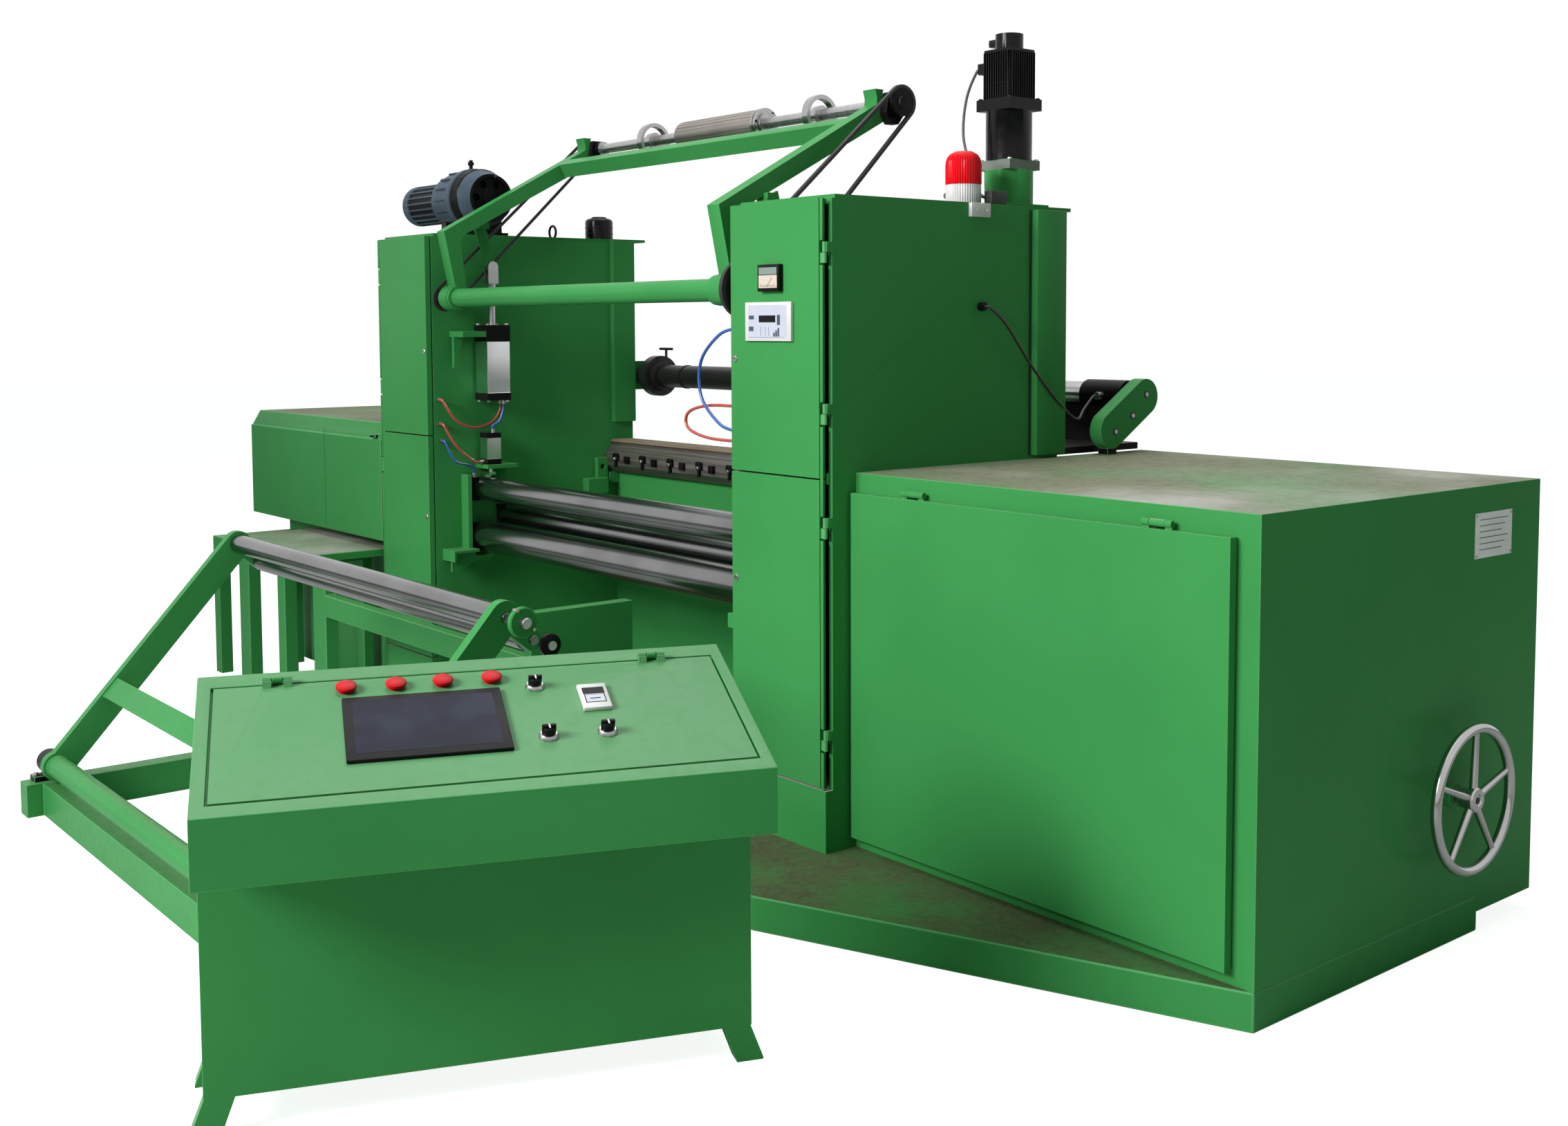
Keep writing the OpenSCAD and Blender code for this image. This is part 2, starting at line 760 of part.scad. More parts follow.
module motor_brackets() {
    // Cradle of the gearmotor, open below the motor
    color(black) difference() {
        union() {
            block([gear_face - 300, gear_face - 66], [gear_axis[0] - 104, gear_axis[0] + 104],
                [deck_z, deck_z + 12]);
            for (x = [gear_face - 236, gear_face - 110])
                block([x, x + 40], [gear_axis[0] - 80, gear_axis[0] + 80],
                    [deck_z, gear_axis[1] - 60]);
        }
        translate([gear_face, gear_axis[0], gear_axis[1]]) rotate([0, -90, 0])
            rotate_extrude() polygon(concat([[0, 0]], gear_profile));
        rotate_about_gear(0) rod_x(220.4, gear_face - 238.2, gear_face - 143.8, gear_axis);
    }
    // Base of the rear drive, carried by the right frame's back
    color(black) {
        block([half + 80, outer], [frame_d, rear_axis[0] + 40], [cab_top + 4, cab_top + 24]);
        difference() {
            block([half + 120, half + 330], [rear_axis[0] - 36, rear_axis[0] + 36],
                [cab_top + 24, rear_axis[1] - 24]);
            rod_x(rear_motor_d + 0.4, half + 119, half + 331, rear_axis);
        }
    }
}

servo_at = [1185, 775];
servo_z = [deck_z, deck_z + 8, deck_z + 106, deck_z + 133, deck_z + 272, deck_z + 304,
    deck_z + 443, deck_z + 487];

module servo_stand() {
    color(green) translate([servo_at[0], servo_at[1], 0]) {
        translate([-80, -80, servo_z[0]]) cube([160, 160, 8]);
        difference() {
            translate([0, 0, servo_z[1]]) cylinder(d = 138, h = servo_z[2] - servo_z[1]);
            translate([0, 0, servo_z[1] - 1]) cylinder(d = 100, h = 120);
        }
    }
    color("gray") translate([servo_at[0] - 62, servo_at[1] - 62, servo_z[2]])
        cube([124, 124, servo_z[3] - servo_z[2]]);
}

module servo_motor() {
    color(black) translate([servo_at[0], servo_at[1], 0]) {
        translate([0, 0, servo_z[3]]) cylinder(d = 131, h = servo_z[4] - servo_z[3]);
        translate([-65, -65, servo_z[4]]) cube([130, 130, servo_z[5] - servo_z[4]]);
        translate([-50, -50, servo_z[5]]) cube([100, 100, servo_z[6] - servo_z[5]]);
        // Fins on the four sides
        for (a = [0:90:270], i = [-5:5])
            rotate([0, 0, a]) translate([50, i * 9 - 1.5, servo_z[5]])
                cube([6, 3, servo_z[6] - servo_z[5] - 8]);
        translate([0, 0, servo_z[6]]) cylinder(d = 79, h = servo_z[7] - servo_z[6]);
        // Connectors
        translate([-95, -30, servo_z[6] - 60]) cube([40, 30, 30]);
        translate([-80, 0, servo_z[7] - 26]) cube([50, 24, 20]);
    }
}

module jack_cover() {
    color(black) post(106, [-half - 62, 765], deck_z, deck_z + 80);
}

beacon_at = [1212, 567];

module beacon_base() {
    color("white") {
        post(98, beacon_at, deck_z, deck_z + 55);
        block([outer - 30, outer - 2], [600, 660], [deck_z, deck_z + 36]);
    }
}

module beacon_lens() {
    color("red") translate([beacon_at[0], beacon_at[1], deck_z + 55]) {
        cylinder(d = 100, h = 50);
        translate([0, 0, 50]) intersection() {
            scale([1, 1, 1]) sphere(r = 50);
            cylinder(r = 51, h = 42);
        }
    }
}

rear_axis = [1190, 1225];
guard_low = [1040, 1132];
guard_r = 53;
rear_motor_d = 94;

module rear_motor() {
    color(black) {
        rod_x(rear_motor_d, outer - 160, outer - 2, rear_axis);
        rod_x(24, outer - 3, outer + 20, rear_axis);
    }
    color("silver") rod_x(80, outer - 340, outer - 160, rear_axis);
}

module belt_guard() {
    color(green) plate_x(outer + 20, outer + 62) hull() {
        translate(rear_axis) circle(r = guard_r, $fn = 32);
        translate(guard_low) circle(r = guard_r, $fn = 32);
    }
    color(black) {
        block([outer + 24, outer + 60], [guard_low[0] - 20, guard_low[0] + 20],
            [cab_top, guard_low[1] - guard_r + 2]);
    }
}

module handwheel() {
    rim_r = wheel_d / 2 - rim_d / 2;
    color("silver") translate([cab_x1, wheel_at[0], wheel_at[1]]) rotate([0, 90, 0]) {
        translate([0, 0, 5]) cylinder(d = wheel_shaft, h = wheel_out - 20);
        translate([0, 0, wheel_out - 44]) cylinder(d = 48, h = 44);
        translate([0, 0, wheel_out - 12]) rotate_extrude() translate([rim_r, 0]) circle(d = rim_d);
        for (i = [0:4])
            rotate([0, 0, 20 + 72 * i]) translate([10, 0, wheel_out - 14])
                rotate([0, 90, 0]) cylinder(d = 15, h = rim_r - 13);
    }
}

// ---------- console ----------

module console_frame() {
    translate([console_at[0], console_at[1], 0]) rotate([0, 0, console_turn]) children();
}

// Profile drawn in [v, z], extruded along u
module plate_u(u0, u1) {
    translate([u0, 0, 0]) rotate([90, 0, 90]) linear_extrude(u1 - u0) children();
}

module console_body() {
    color(green) console_frame() {
        block([2, hood_w - 2], [body_set, hood_d - 4], [body_foot, hood_foot]);
        // Splayed sheet feet
        for (u = [[0, -26], [hood_w - 60, 26]], v = [body_set, hood_d - 44])
            hull() {
                block([u[0] + 2, u[0] + 56], [v, v + 40], [body_foot - 1, body_foot]);
                block([u[0] + 2 + u[1], u[0] + 56 + u[1]], [v, v + 40], [0, 4]);
            }
    }
}

// Slope of the hood's top as a height at v
function hood_z(v) = hood_front + v * tan(slope);

module console_hood() {
    wall = 14;
    color(green) console_frame() difference() {
        plate_u(0, hood_w) polygon([[0, hood_foot], [0, hood_front], [hood_d, hood_back],
            [hood_d, hood_foot]]);
        // Room under the lid
        plate_u(lid_u[0] + wall, lid_u[1] - wall) polygon([[lid_v[0] + wall, hood_foot + wall],
            [lid_v[0] + wall, hood_z(lid_v[0] + wall) + 20],
            [lid_v[1] - wall, hood_z(lid_v[1] - wall) + 20], [lid_v[1] - wall, hood_foot + wall]]);
        // Seat of the lid
        on_slope([lid_u[0] - door_gap, lid_u[1] + door_gap],
            [lid_v[0] - door_gap, lid_v[1] + door_gap], -lid_t, 30);
    }
    color(black) console_frame() for (u = console_hinges) {
        rod_x(pin_d, u - 27, u + 27, console_axis);
        rod_x(14, u - 9, u + 9, console_axis);
        block([u - 9, u + 9], [console_axis[0], lid_v[1] + door_gap + 16],
            [console_axis[1] - 2, console_axis[1] + 2]);
        block([u - 9, u + 9], [lid_v[1] + door_gap + 6, lid_v[1] + door_gap + 16],
            [hood_z(lid_v[1]) - 4, console_axis[1] + 2]);
    }
}

console_hinges = [144, 866];
console_axis = [lid_v[1] + 2, hood_z(lid_v[1]) + 10];

// Piece lying on the lid, u and v ranges and its height above the hood's slope
module on_slope(u, v, h0, h1) {
    translate([0, 0, hood_front]) rotate([slope, 0, 0])
        block(u, v / cos(slope), [h0, h1]);
}

module console_lid() {
    color(green) console_frame() difference() {
        union() {
            on_slope(lid_u, lid_v, -lid_t + 1, 0);
            for (u = console_hinges, s = [-1, 1]) {
                rod_x(14, u + s * 19 - 8, u + s * 19 + 8, console_axis);
                block([u + s * 19 - 8, u + s * 19 + 8], [lid_v[1] - 10, console_axis[0]],
                    [hood_z(lid_v[1]) - 5, console_axis[1]]);
            }
        }
        for (u = console_hinges)
            rod_x(pin_d + 2 * run_gap, u - 40, u + 40, console_axis);
    }
}

module touch_screen() {
    color(black) console_frame() on_slope([258, 552], [118, 322], 0, 8);
}

button_u = [268, 360, 448, 541];

module console_controls() {
    console_frame() {
        color("red") for (u = button_u)
            translate([0, 0, hood_front]) rotate([slope, 0, 0])
                translate([u, 358 / cos(slope), 0]) {
                    cylinder(d = 30, h = 6);
                    cylinder(d = 22, h = 10);
                    translate([0, 0, 10]) cylinder(d = 34, h = 12);
                }
        color(black) for (p = [[620, 325], [620, 155], [730, 155]])
            translate([0, 0, hood_front]) rotate([slope, 0, 0])
                translate([p[0], p[1] / cos(slope), 0]) {
                    cylinder(d = 30, h = 8);
                    cylinder(d = 24, h = 22);
                    translate([-14, -4, 8]) cube([28, 8, 18]);
                }
        color("white") on_slope([698, 754], [226, 310], 0, 10);
    }
}

// ---------- guide stand ----------

module stand_floor_frame() {
    bx = [stand_x0 - stand_beam[0], stand_x1];
    color(green) {
        for (x = bx)
            block([x, x + stand_beam[0]], [-1420, feed_y0 - 70], [0, stand_beam[1]]);
        block([bx[0] + stand_beam[0], bx[1]], [stand_pivot[0] - 34, stand_pivot[0] + 36],
            [0, stand_beam[1] - 3]);
    }
    // Pillow bearings on the beams
    color(black) for (x = bx)
        difference() {
            union() {
                rod_x(72, x + 10, x + stand_beam[0] - 10, stand_pivot);
                block([x + 10, x + stand_beam[0] - 10], [stand_pivot[0] - 55, stand_pivot[0] + 55],
                    [stand_beam[1], stand_beam[1] + 18]);
            }
            rod_x(30 + 2 * run_gap, x, x + stand_beam[0] + 1, stand_pivot);
        }
}

// Outline of a stand arm, [y, z]
module stand_arm_outline() {
    t = (stand_upper - stand_pivot) / norm(stand_upper - stand_pivot);
    n = [t[1], -t[0]];
    difference() {
        union() {
            polygon([stand_pivot - 34 * n, stand_upper - 40 * n, stand_upper + 40 * n,
                stand_pivot + 44 * n]);
            translate(stand_pivot) circle(d = 84);
            translate(stand_upper) circle(d = 80);
            hull() {
                translate(stand_upper) circle(d = 52, $fn = 32);
                translate(stand_lower) circle(d = 52, $fn = 32);
            }
        }
        translate(stand_upper) circle(d = 24 + 2 * run_gap);
        translate(stand_lower) circle(d = 24 + 2 * run_gap);
    }
}

module stand_arms() {
    a0 = stand_x0 + 5;
    a1 = stand_x1 - 5 - stand_arm_w;
    color(green) {
        plate_x(a0, a0 + stand_arm_w) stand_arm_outline();
        plate_x(a1, a1 + stand_arm_w) stand_arm_outline();
        rod_x(stand_tube_d, a0 + stand_arm_w, a1, stand_pivot);
        rod_x(30, stand_x0 - stand_beam[0] + 2, a0, stand_pivot);
        rod_x(30, a1 + stand_arm_w, stand_x1 + stand_beam[0] - 2, stand_pivot);
        // Flat cross bar
        plate_x(a0 + stand_arm_w, a1) translate(stand_pivot)
            rotate(atan2(stand_upper[1] - stand_pivot[1], stand_upper[0] - stand_pivot[0]))
            translate([230, 20]) square([66, 10]);
    }
}

module stand_roll(axis) {
    e = stand_arm_w + 5;
    rod_x(stand_roll_d, stand_x0 + e + 3, stand_x1 - e - 3, axis);
    rod_x(24, stand_x0 - 2, stand_x1 + 2, axis);
}

module stand_upper_roll() { color("silver") stand_roll(stand_upper); }
module stand_lower_roll() { color("silver") stand_roll(stand_lower); }

// ---------- feed frame ----------

module feed_frame() {
    post_t = 50;
    color(green) {
        // Posts on the ground
        for (x = [[feed_x0, feed_x0 + 60], [-2069, -1966], [-1671, -1600], [-1332, -1220],
                [feed_x1 - 42, feed_x1]])
            block(x, [feed_y0, feed_y0 + post_t], [0, feed_top - 28]);
        // Front rail
        block([-1220, feed_x1 - 42], [feed_y0, feed_y0 + 40], [385, 464]);
        // Head rail of the left end
        block([feed_x0 + 60, -2069], [feed_y0, feed_y0 + post_t], [480, feed_top - 28]);
        block([feed_x0, -1320], [feed_y0 + post_t, feed_y0 + post_t + 12], [520, feed_top - 28]);
        // Right side plate with its folded top edge
        block([feed_x1 - 12, feed_x1], [feed_y0 + post_t, feed_y1], [200, feed_top - 10]);
        block([feed_x1 - 42, feed_x1], [feed_y0, feed_y1], [feed_top - 28 + 18, feed_top]);
        block([feed_x1 - 42, feed_x1], [feed_y0, feed_y0 + post_t],
            [feed_top - 28, feed_top - 10]);
        // Back legs with their side rails
        for (x = [[feed_x0, feed_x0 + 60], [-1671, -1600]]) {
            block(x, [feed_y1 - 40, feed_y1], [0, feed_top - 28]);
            block(x, [feed_y0 + post_t, feed_y1 - 40], [520, feed_top - 28]);
        }
        // Foot of the side plate, standing on the machine's base
        block([feed_x1 - 12, feed_x1], [0, feed_y1], [base_h, 200]);
    }
}

module feed_table() {
    color(green) block([-2100, -1320], [feed_y0, feed_y1], [feed_top - 28, feed_top]);
}

// ---------- hoses and cables ----------

hose_d = 9;
cable_d = 8;

// Smooth route through hand-picked points, straight in its first and last span
function spline_point(p, i, t) =
    let (a = p[max(i - 1, 0)], b = p[i], c = p[i + 1], d = p[min(i + 2, len(p) - 1)])
    0.5 * (2 * b + (c - a) * t + (2 * a - 5 * b + 4 * c - d) * t * t
        + (3 * b - a - 3 * c + d) * t * t * t);
function spline(p, steps) = [p[0], for (i = [1:len(p) - 3], s = [0:steps - 1])
    spline_point(p, i, s / steps), p[len(p) - 2], p[len(p) - 1]];

function unit(v) = v / norm(v);

// Direction, off every route, from which the corners of a tube's rings are counted
ring_start = [0.6, -0.55, 0.58];

// Tube with eight sides swept along a route
module tube(route, d) {
    n = len(route);
    sides = 8;
    rings = [for (i = [0:n - 1])
        let (t = unit(unit(route[min(i + 1, n - 1)] - route[min(i, n - 2)])
                + unit(route[max(i, 1)] - route[max(i - 1, 0)])),
            side = unit(cross(t, ring_start)),
            up = cross(side, t))
        for (k = [0:sides - 1])
            route[i] + d / 2 * (cos(360 * k / sides) * side + sin(360 * k / sides) * up)];
    walls = [for (i = [0:n - 2], k = [0:sides - 1])
        [i * sides + k, i * sides + (k + 1) % sides, (i + 1) * sides + (k + 1) % sides,
            (i + 1) * sides + k]];
    first = [for (k = [0:sides - 1]) sides - 1 - k];
    last = [for (k = [0:sides - 1]) (n - 1) * sides + k];
    polyhedron(points = rings, faces = concat([first], walls, [last]));
}

// Hand-picked points of every route; a hose ends against the face of its fitting
hose_left_a_route = [[-884, 41, 1177], [-868, 41, 1177], [-852, 84, 1106], [-850, 150, 1076],
    [-850, 226, 1090], [-846, 262, 1138], [-846, 262, 1158]];
hose_left_b_route = [[-814, 258, 1158], [-814, 258, 1146], [-818, 244, 1100], [-832, 222, 1080],
    [-832, 222, 1068]];
hose_left_c_route = [[-884, 44, 1090], [-868, 44, 1090], [-846, 85, 1010], [-850, 160, 950],
    [-850, 178, 950]];
hose_left_d_route = [[-884, 49, 1030], [-868, 49, 1030], [-856, 80, 960], [-876, 140, 940],
    [-884, 170, 926], [-884, 170, 908]];
hose_right_a_route = [[884, 40, 1431], [868, 40, 1431], [790, 40, 1412], [706, 40, 1340],
    [706, 40, 1240], [790, 40, 1168], [868, 40, 1150], [884, 40, 1150]];
hose_right_b_route = [[884, 70, 1216], [868, 70, 1216], [700, 70, 1214], [600, 70, 1190],
    [600, 70, 1146], [700, 70, 1122], [868, 70, 1120], [884, 70, 1120]];
servo_cable_route = [[1090, 760, 2166], [1074, 760, 2166], [1046, 745, 2090], [1060, 718, 1980],
    [1120, 690, 1880], [1190, 652, 1805], [1244, 645, 1788], [1260, 645, 1788]];
beacon_cable_route = [[1163, 567, 1790], [1145, 567, 1790], [1112, 600, 1806],
    [1140, 650, 1818], [1244, 618, 1788], [1260, 618, 1788]];
motor_cable_route = [[1308, 555, 1488], [1322, 555, 1488], [1334, 610, 1440], [1322, 730, 1320],
    [1312, 860, 1210], [1285, 960, 1165], [1235, 1050, 1190], [1220, 1108, 1225],
    [1220, 1122, 1225]];

// One fitting: its start, direction and length
module fitting(at, dir, len, d = 15) {
    translate(at) rotate([0, acos(dir[2]), atan2(dir[1], dir[0])]) cylinder(d = d, h = len);
}

module hose_fittings() {
    color("silver") {
        for (p = [[41, 1177], [44, 1090], [49, 1030]])
            fitting([-half, p[0], p[1]], [1, 0, 0], 16);
        for (p = [[40, 1431], [40, 1150], [70, 1216], [70, 1120]])
            fitting([half, p[0], p[1]], [-1, 0, 0], 16);
        fitting([-press_x, press_y - press_sq / 2, 950], [0, -1, 0], 16);
        fitting([-832, press_y, press_z[3]], [0, 0, 1], 14);
        for (p = [[-846, 262], [-814, 258]])
            fitting([p[0], p[1], lift_z[0]], [0, 0, -1], 14);
        fitting([-half + 16, 170, upper_axis[1] + 42], [0, 0, 1], 16);
    }
    color(black) {
        fitting([outer, 555, 1488], [1, 0, 0], 18, 24);
        fitting([1220, rear_axis[0] - 47.3, rear_axis[1]], [0, -1, 0], 20.7, 24);
    }
}

module hose_left_a() { color("red") tube(spline(hose_left_a_route, 2), hose_d); }
module hose_left_b() { color("blue") tube(spline(hose_left_b_route, 2), hose_d); }
module hose_left_c() { color("red") tube(spline(hose_left_c_route, 2), hose_d); }
module hose_left_d() { color("blue") tube(spline(hose_left_d_route, 2), hose_d); }
module hose_right_a() { color("blue") tube(spline(hose_right_a_route, 2), hose_d); }
module hose_right_b() { color("red") tube(spline(hose_right_b_route, 2), hose_d); }
module servo_cable() { color(black) tube(spline(servo_cable_route, 1), cable_d); }
module beacon_cable() { color(black) tube(spline(beacon_cable_route, 1), cable_d); }
module motor_cable() { color(black) tube(spline(motor_cable_route, 1), cable_d); }

base_plinth();
left_frame();
right_frame();
top_plates();
left_upper_door();
left_lower_door();
right_upper_door();
right_lower_door();
door_instruments();
right_cabinet();
cabinet_panel();
left_cabinet();
rear_panel();
knife_beam();
spindle();
upper_roll();
middle_roll();
lower_roll();
roll_bearings();
wall_brackets();
swing_frame();
winding_shaft();
winding_bearings();
belts();
left_pulley();
right_pulley();
lift_cylinders();
lift_rods();
press_cylinders();
gearmotor();
motor_brackets();
servo_stand();
servo_motor();
jack_cover();
beacon_base();
beacon_lens();
rear_motor();
belt_guard();
handwheel();
console_body();
console_hood();
console_lid();
touch_screen();
console_controls();
stand_floor_frame();
stand_arms();
stand_upper_roll();
stand_lower_roll();
feed_frame();
feed_table();
hose_fittings();
hose_left_a();
hose_left_b();
hose_left_c();
hose_left_d();
hose_right_a();
hose_right_b();
servo_cable();
beacon_cable();
motor_cable();
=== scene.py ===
# %% [markdown]
# # Rubber sheet making machine
# The machine's true sizes come from its packed CAD model, which is loaded here as a fixed frame.
# Everything below dresses that frame: rounded sheet-metal edges, enamel with settled dust,
# bright rolls, the control console's instruments, hoses and small hardware. Places on the machine
# are typed in millimetres and become metres where a mesh or a route is made. The camera, the lamps
# and the widths of rounded edges are in metres.

# %% Load the frame
import json
import math

import bmesh
import bpy
from mathutils import Matrix, Vector


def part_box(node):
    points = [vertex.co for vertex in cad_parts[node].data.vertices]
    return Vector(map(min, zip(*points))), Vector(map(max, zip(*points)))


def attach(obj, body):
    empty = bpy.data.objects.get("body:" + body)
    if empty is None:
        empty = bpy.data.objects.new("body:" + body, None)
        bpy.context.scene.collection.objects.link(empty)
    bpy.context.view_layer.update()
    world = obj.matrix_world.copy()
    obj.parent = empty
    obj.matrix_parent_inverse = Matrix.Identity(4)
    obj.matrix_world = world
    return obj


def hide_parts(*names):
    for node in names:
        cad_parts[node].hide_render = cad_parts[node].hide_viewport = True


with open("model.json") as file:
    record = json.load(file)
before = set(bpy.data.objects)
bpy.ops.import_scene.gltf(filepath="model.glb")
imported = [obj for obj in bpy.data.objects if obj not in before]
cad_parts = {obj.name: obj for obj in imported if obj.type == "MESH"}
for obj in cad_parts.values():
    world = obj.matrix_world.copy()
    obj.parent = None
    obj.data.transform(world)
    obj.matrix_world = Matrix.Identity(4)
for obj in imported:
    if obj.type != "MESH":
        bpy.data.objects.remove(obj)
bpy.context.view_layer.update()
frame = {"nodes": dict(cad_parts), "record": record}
nodes = frame["nodes"]
body_of_node = {n: b for b, ns in frame["record"]["behaviour"]["bodies"].items() for n in ns}

# %% [markdown]
# The camera stands off the right front corner, a little below head height, where an installer
# would stand to take in the drive cabinet and the console together. Its lens and shifts are kept
# as shares of the view's width, so the framing doesn't depend on the size of the render.

# %% Camera
SENSOR, VIEW_WIDTH = 36.0, 2268
cam_data = bpy.data.cameras.new("camera")
cam_data.sensor_width = SENSOR
cam_data.lens = 2356.34 * SENSOR / VIEW_WIDTH
cam_data.shift_x = (1134 - 1164) / VIEW_WIDTH
cam_data.shift_y = (631 - 814) / VIEW_WIDTH
cam_data.clip_end = 100.0
camera = bpy.data.objects.new("camera", cam_data)
yaw, pitch, roll = 0.88208, 0.06892, -0.00329
camera.matrix_world = (Matrix.Translation((4.4194, -2.6412, 1.4425))
                       @ Matrix.Rotation(yaw, 4, "Z")
                       @ Matrix.Rotation(math.pi / 2 - pitch, 4, "X")
                       @ Matrix.Rotation(roll, 4, "Z"))
bpy.context.scene.collection.objects.link(camera)
bpy.context.scene.camera = camera
bpy.context.scene.view_settings.view_transform = "Standard"
print("lens", round(cam_data.lens, 2), "mm")


# %% [markdown]
# Nine air hoses and cables leave glands on the frames and go back into other glands, so each is a
# cord whose far end is the object. A poly curve follows the same route as the CAD
# solid that it stands for, straight in its first and last span. The bevel is a circle of radius 1
# that each point scales to the cord's own radius. Set the other way round, with points of radius 1,
# the tube is the same, but the box that Blender reports for the curve comes out too large.

# %% Hoses and cables
def smooth_route(points, steps=6):
    """Catmull-Rom curve through points in millimetres, handed back in metres."""
    route = [points[0]]
    for i in range(1, len(points) - 2):
        a, b, c, d = (Vector(points[i + k]) for k in (-1, 0, 1, 2))
        for s in range(steps):
            t = s / steps
            route.append(0.5 * (2 * b + (c - a) * t + (2 * a - 5 * b + 4 * c - d) * t * t
                                + (3 * b - a - 3 * c + d) * t ** 3))
    return [Vector(p) * 0.001 for p in route + [points[-2], points[-1]]]


def lay_cord(name, points, diameter):
    """Lays one hose or cable as a curve, in place of its CAD solid."""
    route = smooth_route(points)
    curve = bpy.data.curves.new("laid_" + name, "CURVE")
    curve.dimensions = "3D"
    curve.bevel_depth = 1.0
    curve.bevel_resolution = 4
    curve.use_fill_caps = True
    spline = curve.splines.new("POLY")
    spline.points.add(len(route) - 1)
    for point, at in zip(spline.points, route):
        point.co, point.radius = (*at, 1), diameter / 2
    spline.use_smooth = True
    cord = bpy.data.objects.new("laid_" + name, curve)
    bpy.context.scene.collection.objects.link(cord)
    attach(cord, "machine")
    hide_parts(name)
    return cord


HOSES = {
    "hose_left_a": [(-884, 41, 1177), (-868, 41, 1177), (-852, 84, 1106), (-850, 150, 1076),
                    (-850, 226, 1090), (-846, 262, 1138), (-846, 262, 1158)],
    "hose_left_b": [(-814, 258, 1158), (-814, 258, 1146), (-818, 244, 1100), (-832, 222, 1080),
                    (-832, 222, 1068)],
    "hose_left_c": [(-884, 44, 1090), (-868, 44, 1090), (-846, 85, 1010), (-850, 160, 950),
                    (-850, 178, 950)],
    "hose_left_d": [(-884, 49, 1030), (-868, 49, 1030), (-856, 80, 960), (-876, 140, 940),
                    (-884, 170, 926), (-884, 170, 908)],
    "hose_right_a": [(884, 40, 1431), (868, 40, 1431), (790, 40, 1412), (706, 40, 1340),
                     (706, 40, 1240), (790, 40, 1168), (868, 40, 1150), (884, 40, 1150)],
    "hose_right_b": [(884, 70, 1216), (868, 70, 1216), (700, 70, 1214), (600, 70, 1190),
                     (600, 70, 1146), (700, 70, 1122), (868, 70, 1120), (884, 70, 1120)],
}
CABLES = {
    "servo_cable": [(1090, 760, 2166), (1074, 760, 2166), (1046, 745, 2090), (1060, 718, 1980),
                    (1120, 690, 1880), (1190, 652, 1805), (1244, 645, 1788), (1260, 645, 1788)],
    "beacon_cable": [(1163, 567, 1790), (1145, 567, 1790), (1112, 600, 1806), (1140, 650, 1818),
                     (1244, 618, 1788), (1260, 618, 1788)],
    "motor_cable": [(1308, 555, 1488), (1322, 555, 1488), (1334, 610, 1440), (1322, 730, 1320),
                    (1312, 860, 1210), (1285, 960, 1165), (1235, 1050, 1190), (1220, 1108, 1225),
                    (1220, 1122, 1225)],
}
cords = {name: lay_cord(name, route, 0.009) for name, route in HOSES.items()}
cords |= {name: lay_cord(name, route, 0.008) for name, route in CABLES.items()}


# %% [markdown]
# The studio is plain: one broad lamp in front of the doors and one overhead. The front lamp's beam
# is narrowed and turned to the right, so that the left end falls off, and the sides that face
# right stay in shade.

# %% Lamps
def area_lamp(name, at, aim, size, watts, spread=180, colour=(1, 1, 1)):
    lamp = bpy.data.lights.new(name, "AREA")
    lamp.shape = "RECTANGLE"
    lamp.size, lamp.size_y = size
    lamp.energy = watts
    lamp.color = colour
    lamp.spread = math.radians(spread)
    obj = bpy.data.objects.new(name, lamp)
    obj.location = at
    obj.rotation_euler = (Vector(aim) - Vector(at)).to_track_quat("-Z", "Y").to_euler()
    bpy.context.scene.collection.objects.link(obj)
    return obj


area_lamp("front_lamp", (1.0, -6.8, 4.2), (2.2, 0.0, 0.8), (3.4, 2.4), 222, spread=100,
          colour=(1.0, 0.93, 0.97))
area_lamp("top_lamp", (-0.2, 0.4, 6.5), (0.4, 0.4, 0.0), (6.0, 5.0), 215)
print("lamps", len(bpy.data.lights))

# %% [markdown]
# The world, the floor and every finish are built from nodes by name, so a few short helpers come
# first. `add_node` makes a node and fills its inputs: a number or colour is written there, and
# another node's output is linked. The others open a node group with named sockets, and make a
# smooth step, a sum or product, a value scaled and raised, a noise and a colour mix.

# %% Helpers for nodes
FLOAT = "NodeSocketFloat"


def fill(tree, node, inputs):
    """Fills inputs by name or place; what comes out of another node is linked."""
    for socket, value in inputs.items():
        if hasattr(value, "is_output"):
            tree.links.new(value, node.inputs[socket])
        else:
            node.inputs[socket].default_value = value


def add_node(tree, kind, inputs=None, **settings):
    """A node with its settings made and its inputs filled."""
    node = tree.nodes.new(kind)
    for key, value in settings.items():
        setattr(node, key, value)
    fill(tree, node, inputs or {})
    return node


def group(name, inputs, outputs):
    """A shader node group with its named inputs and outputs."""
    tree = bpy.data.node_groups.new(name, "ShaderNodeTree")
    for label, kind, value in inputs:
        s = tree.interface.new_socket(name=label, in_out="INPUT", socket_type=kind)
        s.default_value = value
    for label, kind in outputs:
        tree.interface.new_socket(name=label, in_out="OUTPUT", socket_type=kind)
    return tree, add_node(tree, "NodeGroupInput"), add_node(tree, "NodeGroupOutput")


def ramp(tree, source, low, high):
    """A smooth step from 0 at low to 1 at high."""
    return add_node(tree, "ShaderNodeMapRange",
                    {"Value": source, "From Min": low, "From Max": high},
                    interpolation_type="SMOOTHSTEP").outputs["Result"]


def maths(tree, operation, a, b):
    return add_node(tree, "ShaderNodeMath", {0: a, 1: b}, operation=operation).outputs[0]


def scaled(tree, value, by, plus):
    """The value times by, and plus added to it."""
    return maths(tree, "ADD", maths(tree, "MULTIPLY", value, by), plus)


